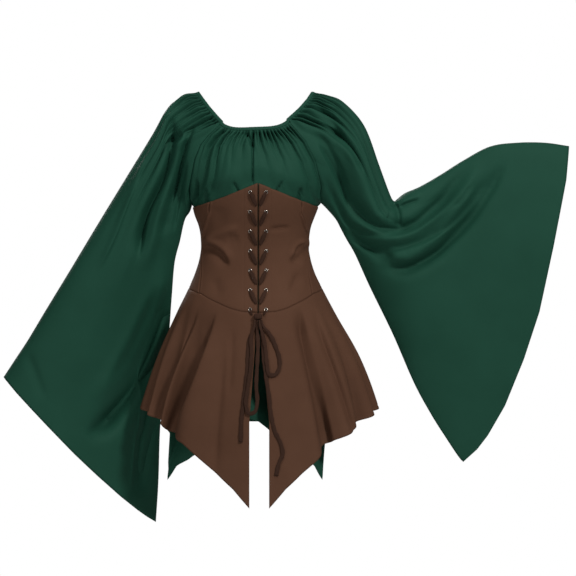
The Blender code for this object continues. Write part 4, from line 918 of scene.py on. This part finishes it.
def fine_loop(away, points):
    """Points right round the neckline at a distance below its edge, from the wearer's right front corner."""
    u = np.arange(1, points) / points
    out = CORNER * np.arange(points // 2 + 1) / (points // 2)
    back = out[:0:-1]

    def along_sleeve(sections, armhole, t, behind):
        return sleeve(sections, armhole, [], np.full(len(t), away / SLEEVE_LENGTH), t, np.full(len(t), behind))

    return np.concatenate([
        chemise(u, np.full(len(u), away / PANEL_LENGTH), False)[0],
        along_sleeve(LEFT_SLEEVE, LEFT_ARMHOLE, back, False),
        along_sleeve(LEFT_SLEEVE, LEFT_ARMHOLE, out, True),
        chemise(1 - u, np.full(len(u), away / PANEL_LENGTH), True)[0],
        along_sleeve(RIGHT_SLEEVE, RIGHT_ARMHOLE, back, True),
        along_sleeve(RIGHT_SLEEVE, RIGHT_ARMHOLE, out, False),
    ])


def build_casing():
    """The casing of the elastic: a narrow puckered tube right round the neckline."""
    count = 150
    top, low = fine_loop(0.0, count), fine_loop(0.0085, count)
    middle = (top + low) / 2
    up = (top - low) / np.linalg.norm(top - low, axis=1)[:, None]
    ahead = np.roll(middle, -1, axis=0) - np.roll(middle, 1, axis=0)
    ahead /= np.linalg.norm(ahead, axis=1)[:, None]
    outward = np.cross(ahead, up)
    if np.mean(np.sum(outward * (middle - middle.mean(axis=0)), axis=1)) < 0:
        outward = -outward
    run = np.concatenate([[0], np.cumsum(np.linalg.norm(np.diff(middle, axis=0), axis=1))])
    pucker = np.zeros(len(run))
    spots = int(run[-1] / 0.0072)
    for i in range(spots):
        at = (i + 0.5 + 0.6 * (scatter(i + 0.7) - 0.5)) * run[-1] / spots
        pucker += (0.5 + 0.7 * scatter(i + 3.3)) * np.exp(-(((run - at) / 0.0016) ** 2))
    turns = 2 * pi * np.arange(12) / 12
    rows = []
    for turn in turns:
        tall = 0.0044 + 0.0003 * pucker * sin(turn)
        thick = 0.0019 - 0.0011 * pucker * max(cos(turn), 0)
        rows.append(middle + up * (tall * sin(turn))[:, None] + outward * (thick * cos(turn))[:, None])
    points = np.array(rows + rows[:1])
    piece = grid_mesh("neckline_casing_cloth", points, GREEN, closed=True)
    return dress(piece, "neckline_casing")


# The corset and the peplum


def build_corset_panel(name, angles, count, creases, placket=0):
    """A panel of the corset, stitched along its edges, with the creases that the photo shows."""
    v = np.linspace(0.0, 1.0, 64)
    edges = np.array([angles(a) for a in v])
    share = np.linspace(0, 1, count)
    angle = edges[:, :1] + (edges[:, 1:] - edges[:, :1]) * share
    v = np.repeat(v[:, None], count, axis=1)
    points = corset(angle.ravel(), v.ravel()).reshape(angle.shape + (3,))
    normals = outward_normals(points)
    x, drop = points[:, :, 0], -points[:, :, 2]
    height = crease_height(x, drop, creases) if creases else np.zeros(x.shape)
    if name == "corset_back":
        height = HIDDEN_FOLD_SHARE * crease_height(x, drop, BACK_CREASES)
    wide = np.linalg.norm(points[:, -1] - points[:, 0], axis=1)[:, None]
    side = np.minimum(share * wide, (1 - share) * wide)
    tall = np.linalg.norm(points[-1] - points[0], axis=1)[None, :]
    end = np.minimum(v * tall, (1 - v) * tall)
    height -= 0.0014 * np.exp(-((side / 0.0018) ** 2)) + 0.0010 * np.exp(-((end / 0.0018) ** 2))
    height += 0.0010 * np.exp(-(((side - 0.0042) / 0.0022) ** 2))
    height -= 0.0005 * np.exp(-(((end - 0.0060) / 0.0011) ** 2))
    if placket:
        height -= 0.0006 * np.exp(-(((x - placket) / 0.0012) ** 2))
    points = points + normals * height[:, :, None]
    piece = thicken(grid_mesh(name + "_cloth", points, BROWN, flip=True), CORSET_WALL)
    return dress(piece, name)


def build_peplum_panel(name, angles, count):
    """A panel of the peplum, in flutes from the waist seam to a narrow stitched hem."""
    v = np.concatenate([np.linspace(0.0, 0.1, 10), np.linspace(0.1, 1.0, 70)[1:]])
    edges = np.array([angles(a) for a in v])
    share = np.linspace(0, 1, count)
    angle = edges[:, :1] + (edges[:, 1:] - edges[:, :1]) * share
    v = np.repeat(v[:, None], count, axis=1)
    points = peplum(angle.ravel(), v.ravel()).reshape(angle.shape + (3,))
    normals = outward_normals(points)
    x, drop = points[:, :, 0], -points[:, :, 2]
    height = crease_height(x, drop, PEPLUM_BACK_CREASES if name == "peplum_back" else PEPLUM_CREASES)
    tall = np.linalg.norm(points[-1] - points[0], axis=1)[None, :]
    low = (1 - v) * tall
    height -= 0.0006 * np.exp(-(((low - 0.0080) / 0.0014) ** 2))
    height -= 0.0010 * np.exp(-((v * tall / 0.0022) ** 2))
    points = points + normals * height[:, :, None]
    piece = thicken(grid_mesh(name + "_cloth", points, BROWN, flip=True), CORSET_WALL)
    return dress(piece, name)


# Lacing and ties


def tape_mesh(name, path, widths, thick, paint, sides=12, groove=0.30):
    """A flat tape that follows a path with its face to the front, with a groove along its middle."""
    path = np.array(path)
    ahead = np.gradient(path, axis=0)
    ahead /= np.linalg.norm(ahead, axis=1)[:, None]
    across = np.cross(ahead, (0.0, -1.0, 0.0))
    across /= np.linalg.norm(across, axis=1)[:, None]
    facing = np.cross(across, ahead)
    rows = []
    for k in range(sides):
        a = 2 * pi * k / sides
        dip = 1 - groove * np.exp(-((cos(a) / 0.30) ** 2))
        rows.append(path + across * (np.array(widths) / 2 * cos(a))[:, None] + facing * (thick / 2 * sin(a) * dip))
    points = np.moveaxis(np.array(rows), 0, 1)
    cap0 = np.repeat(path[:1][None], sides, axis=1)
    cap1 = np.repeat(path[-1:][None], sides, axis=1)
    return grid_mesh(name, np.concatenate([cap0, points, cap1]), paint, closed=True, flip=True)


def build_lacing():
    """The eyelets, and the stretch of tape from each to the gap between the corset's fronts."""
    for side, word in ((-1, "right"), (1, "left")):
        for k in range(EYELETS):
            x, drop = eyelet_place(side, k)
            build_eyelet(f"eyelet_{word}_{k + 1}", x, drop)
            last = k == EYELETS - 1
            end_x = LACING_X + side * (KNOT_SIZE[0] + 0.0035 if last else LACE_END_ASIDE)
            end_drop = KNOT_DROP - 0.003 if last else drop + LACE_RUN
            share = np.linspace(0, 1, 15)
            lift = np.interp(share, (0.0, 0.3, 0.7, 1.0), LACE_LIFTS)
            path = [
                front_point(x + (end_x - x) * f, drop + (end_drop - drop) * f, h + 0.0006 * sin(pi * f))
                for f, h in zip(share, lift)
            ]
            width = (0.5 if last else 1.0) * LACE_WIDTH * np.interp(share, (0, 0.25, 0.75, 1), (0.5, 0.95, 1.0, 0.55))
            name = f"lace_{word}_{k + 1}"
            piece = tape_mesh(name + "_tape", path, width, LACE_THICK, LACE)
            dress(piece, name)


def lathe_mesh(name, profile, place, outward, paint, sides=32):
    """A turned form: the profile's points are (radius, height) about an axis through place."""
    turn = Vector((0, 0, 1)).rotation_difference(outward)
    rows = []
    for radius, height in profile:
        ring = []
        for k in range(sides):
            a = 2 * pi * k / sides
            ring.append(np.array(turn @ Vector((radius * cos(a), radius * sin(a), height))) + place)
        rows.append(ring)
    return grid_mesh(name, np.array(rows), paint, closed=True, flip=True)


def build_eyelet(name, x, drop):
    """A domed metal eyelet, with a near-black disk across its opening as painted shade."""
    lift = CORSET_WALL / 2 + 0.0002
    here = front_point(x, drop, lift)
    across = front_point(x + 0.004, drop, lift) - here
    down = front_point(x, drop + 0.004, lift) - here
    outward = Vector(across).cross(Vector(-down)).normalized()
    profile = [
        (0.0024, 0.0004), (0.0025, 0.0013), (0.0029, 0.0019), (0.0034, 0.0021), (0.0040, 0.0018), (0.0045, 0.0011),
        (0.0048, 0.0002), (0.0024, 0.0002), (0.0024, 0.0004),
    ]
    ring = lathe_mesh(name + "_ring", profile, here, outward, METAL)
    # A near-black disk across the eyelet's opening: painted shade for the shadow inside it.
    hole_shade = lathe_mesh(name + "_hole_shade", [(0.0001, 0.0005), (0.0025, 0.0005)], here, outward, SHADE)
    hole_shade.parent = ring
    dress(ring, name)


def build_bow():
    """The bow under the lacing: its knot, two loops and two free ends."""
    place = front_point(LACING_X, KNOT_DROP, KNOT_LIFT)
    knot = bpy.data.meshes.new("tie_knot_wrap")
    rows = []
    for i in range(25):
        a = pi * i / 24
        ring = []
        for k in range(40):
            b = 2 * pi * k / 40
            groove = 1 - 0.10 * np.exp(-(((cos(a) - 0.30) / 0.08) ** 2)) - 0.10 * np.exp(-(((cos(a) + 0.35) / 0.08) ** 2))
            flat = np.abs(np.array([cos(a), sin(a) * cos(b), sin(a) * sin(b)]))
            size = np.sum(flat**3.2) ** (-1 / 3.2) * groove
            point = np.array([cos(a), sin(a) * cos(b), sin(a) * sin(b)]) * size
            ring.append(place + point * np.array(KNOT_SIZE) * np.array([1.0, 1.0, 1.0]))
        rows.append(ring)
    piece = grid_mesh("tie_knot_wrap", np.array(rows), LACE, closed=True)
    dress(piece, "tie_knot")
    for name, ties in TIES.items():
        table = np.array(ties)
        run = np.concatenate([[0], np.cumsum(np.linalg.norm(np.diff(table[:, :2], axis=0), axis=1))])
        at = np.linspace(0, run[-1], 90)
        smooth = through(run, table, at)
        path = np.array([front_point(*row) for row in smooth])
        twist = 0.86 + 0.14 * np.cos(2 * pi * at / 0.027) * np.cos(2 * pi * at / 0.071 + 1.0)
        width = TIE_WIDTH * twist * np.interp(smooth[:, 1], (0.535, 0.575), (0.45, 1.0))
        piece = tape_mesh(name + "_tape", path, width, 0.0022, LACE)
        dress(piece, name)


# Studio


def build_studio():
    """A pale floor, a white surround that gives little light of its own, soft lights, and the camera."""
    floor = grid_mesh("floor", np.array([[(-8, -8, -1.6), (8, -8, -1.6)], [(-8, 8, -1.6), (8, 8, -1.6)]]), PALE)
    world = bpy.data.worlds.new("studio")
    bpy.context.scene.world = world
    world.use_nodes = True
    nodes, links = world.node_tree.nodes, world.node_tree.links
    seen = nodes.new("ShaderNodeLightPath")
    strength = nodes.new("ShaderNodeMapRange")
    strength.inputs["To Min"].default_value = WORLD_LIGHT
    strength.inputs["To Max"].default_value = 1.0
    links.new(seen.outputs["Is Camera Ray"], strength.inputs["Value"])
    nodes["Background"].inputs["Color"].default_value = (1.0, 1.0, 1.0, 1)
    links.new(strength.outputs["Result"], nodes["Background"].inputs["Strength"])
    for name, place, size, power in LIGHTS:
        light = bpy.data.lights.new(name, "AREA")
        light.shape = "DISK"
        light.size = size
        light.energy = power
        lamp = bpy.data.objects.new(name, light)
        lamp.location = place
        lamp.rotation_euler = (Vector(AIM) - Vector(place)).to_track_quat("-Z", "Y").to_euler()
        bpy.context.scene.collection.objects.link(lamp)
    camera = bpy.data.cameras.new("camera")
    camera.sensor_width = 36
    camera.lens = 36 * CAMERA_DISTANCE / FRAME_WIDTH
    camera.clip_end = 60
    eye = bpy.data.objects.new("camera", camera)
    eye.location = (AIM[0], -CAMERA_DISTANCE, AIM[2])
    eye.rotation_euler = (pi / 2, 0, 0)
    bpy.context.scene.collection.objects.link(eye)
    bpy.context.scene.camera = eye
    bpy.context.scene.view_settings.view_transform = "Standard"


# Everything


def build_body():
    """The corset's five panels and the peplum's three."""
    def corset_front(side, v):
        return front_edge(side, CORSET_TOP[0].drop * (1 - v) + WAIST_SEAM[0].drop * v)

    def princess(side, v, away):
        return side * (np.interp(v, *zip(*PRINCESS_SEAM)) + away * FINE_SEAM_TURN / 2)

    def peplum_front(side, v):
        return front_edge(side, WAIST_SEAM[0].drop * (1 - v) + PEPLUM_HEM[1].drop * v)

    back = SIDE_BACK - FINE_SEAM_TURN / 2
    far_back = 360 - SIDE_BACK - FINE_SEAM_TURN / 2
    side = 90 - FINE_SEAM_TURN / 2
    build_corset_panel("corset_front_right", lambda v: (princess(-1, v, -1), corset_front(-1, v)), 90,
                       CORSET_CREASES, placket=-0.0256)
    build_corset_panel("corset_front_left", lambda v: (corset_front(1, v), princess(1, v, -1)), 90,
                       CORSET_CREASES, placket=0.0376)
    build_corset_panel("corset_side_right", lambda v: (-back, princess(-1, v, 1)), 60, CORSET_CREASES)
    build_corset_panel("corset_side_left", lambda v: (princess(1, v, 1), back), 60, CORSET_CREASES)
    build_corset_panel("corset_back", lambda v: (360 - far_back, far_back), 100, [])
    build_peplum_panel("peplum_front_right", lambda v: (-side, peplum_front(-1, v)), 170)
    build_peplum_panel("peplum_front_left", lambda v: (peplum_front(1, v), side), 170)
    build_peplum_panel("peplum_back", lambda v: (180 - side, 180 + side), 260)


build_studio()
build_bow()
build_chemise("chemise_front", False)
build_chemise("chemise_back", True)
build_sleeve("sleeve_right", RIGHT_SLEEVE, RIGHT_ARMHOLE, RIGHT_FOLDS, RIGHT_CREASES, 21.0)
build_sleeve("sleeve_left", LEFT_SLEEVE, LEFT_ARMHOLE, LEFT_FOLDS, LEFT_CREASES, 37.0)
build_casing()
build_body()
build_lacing()
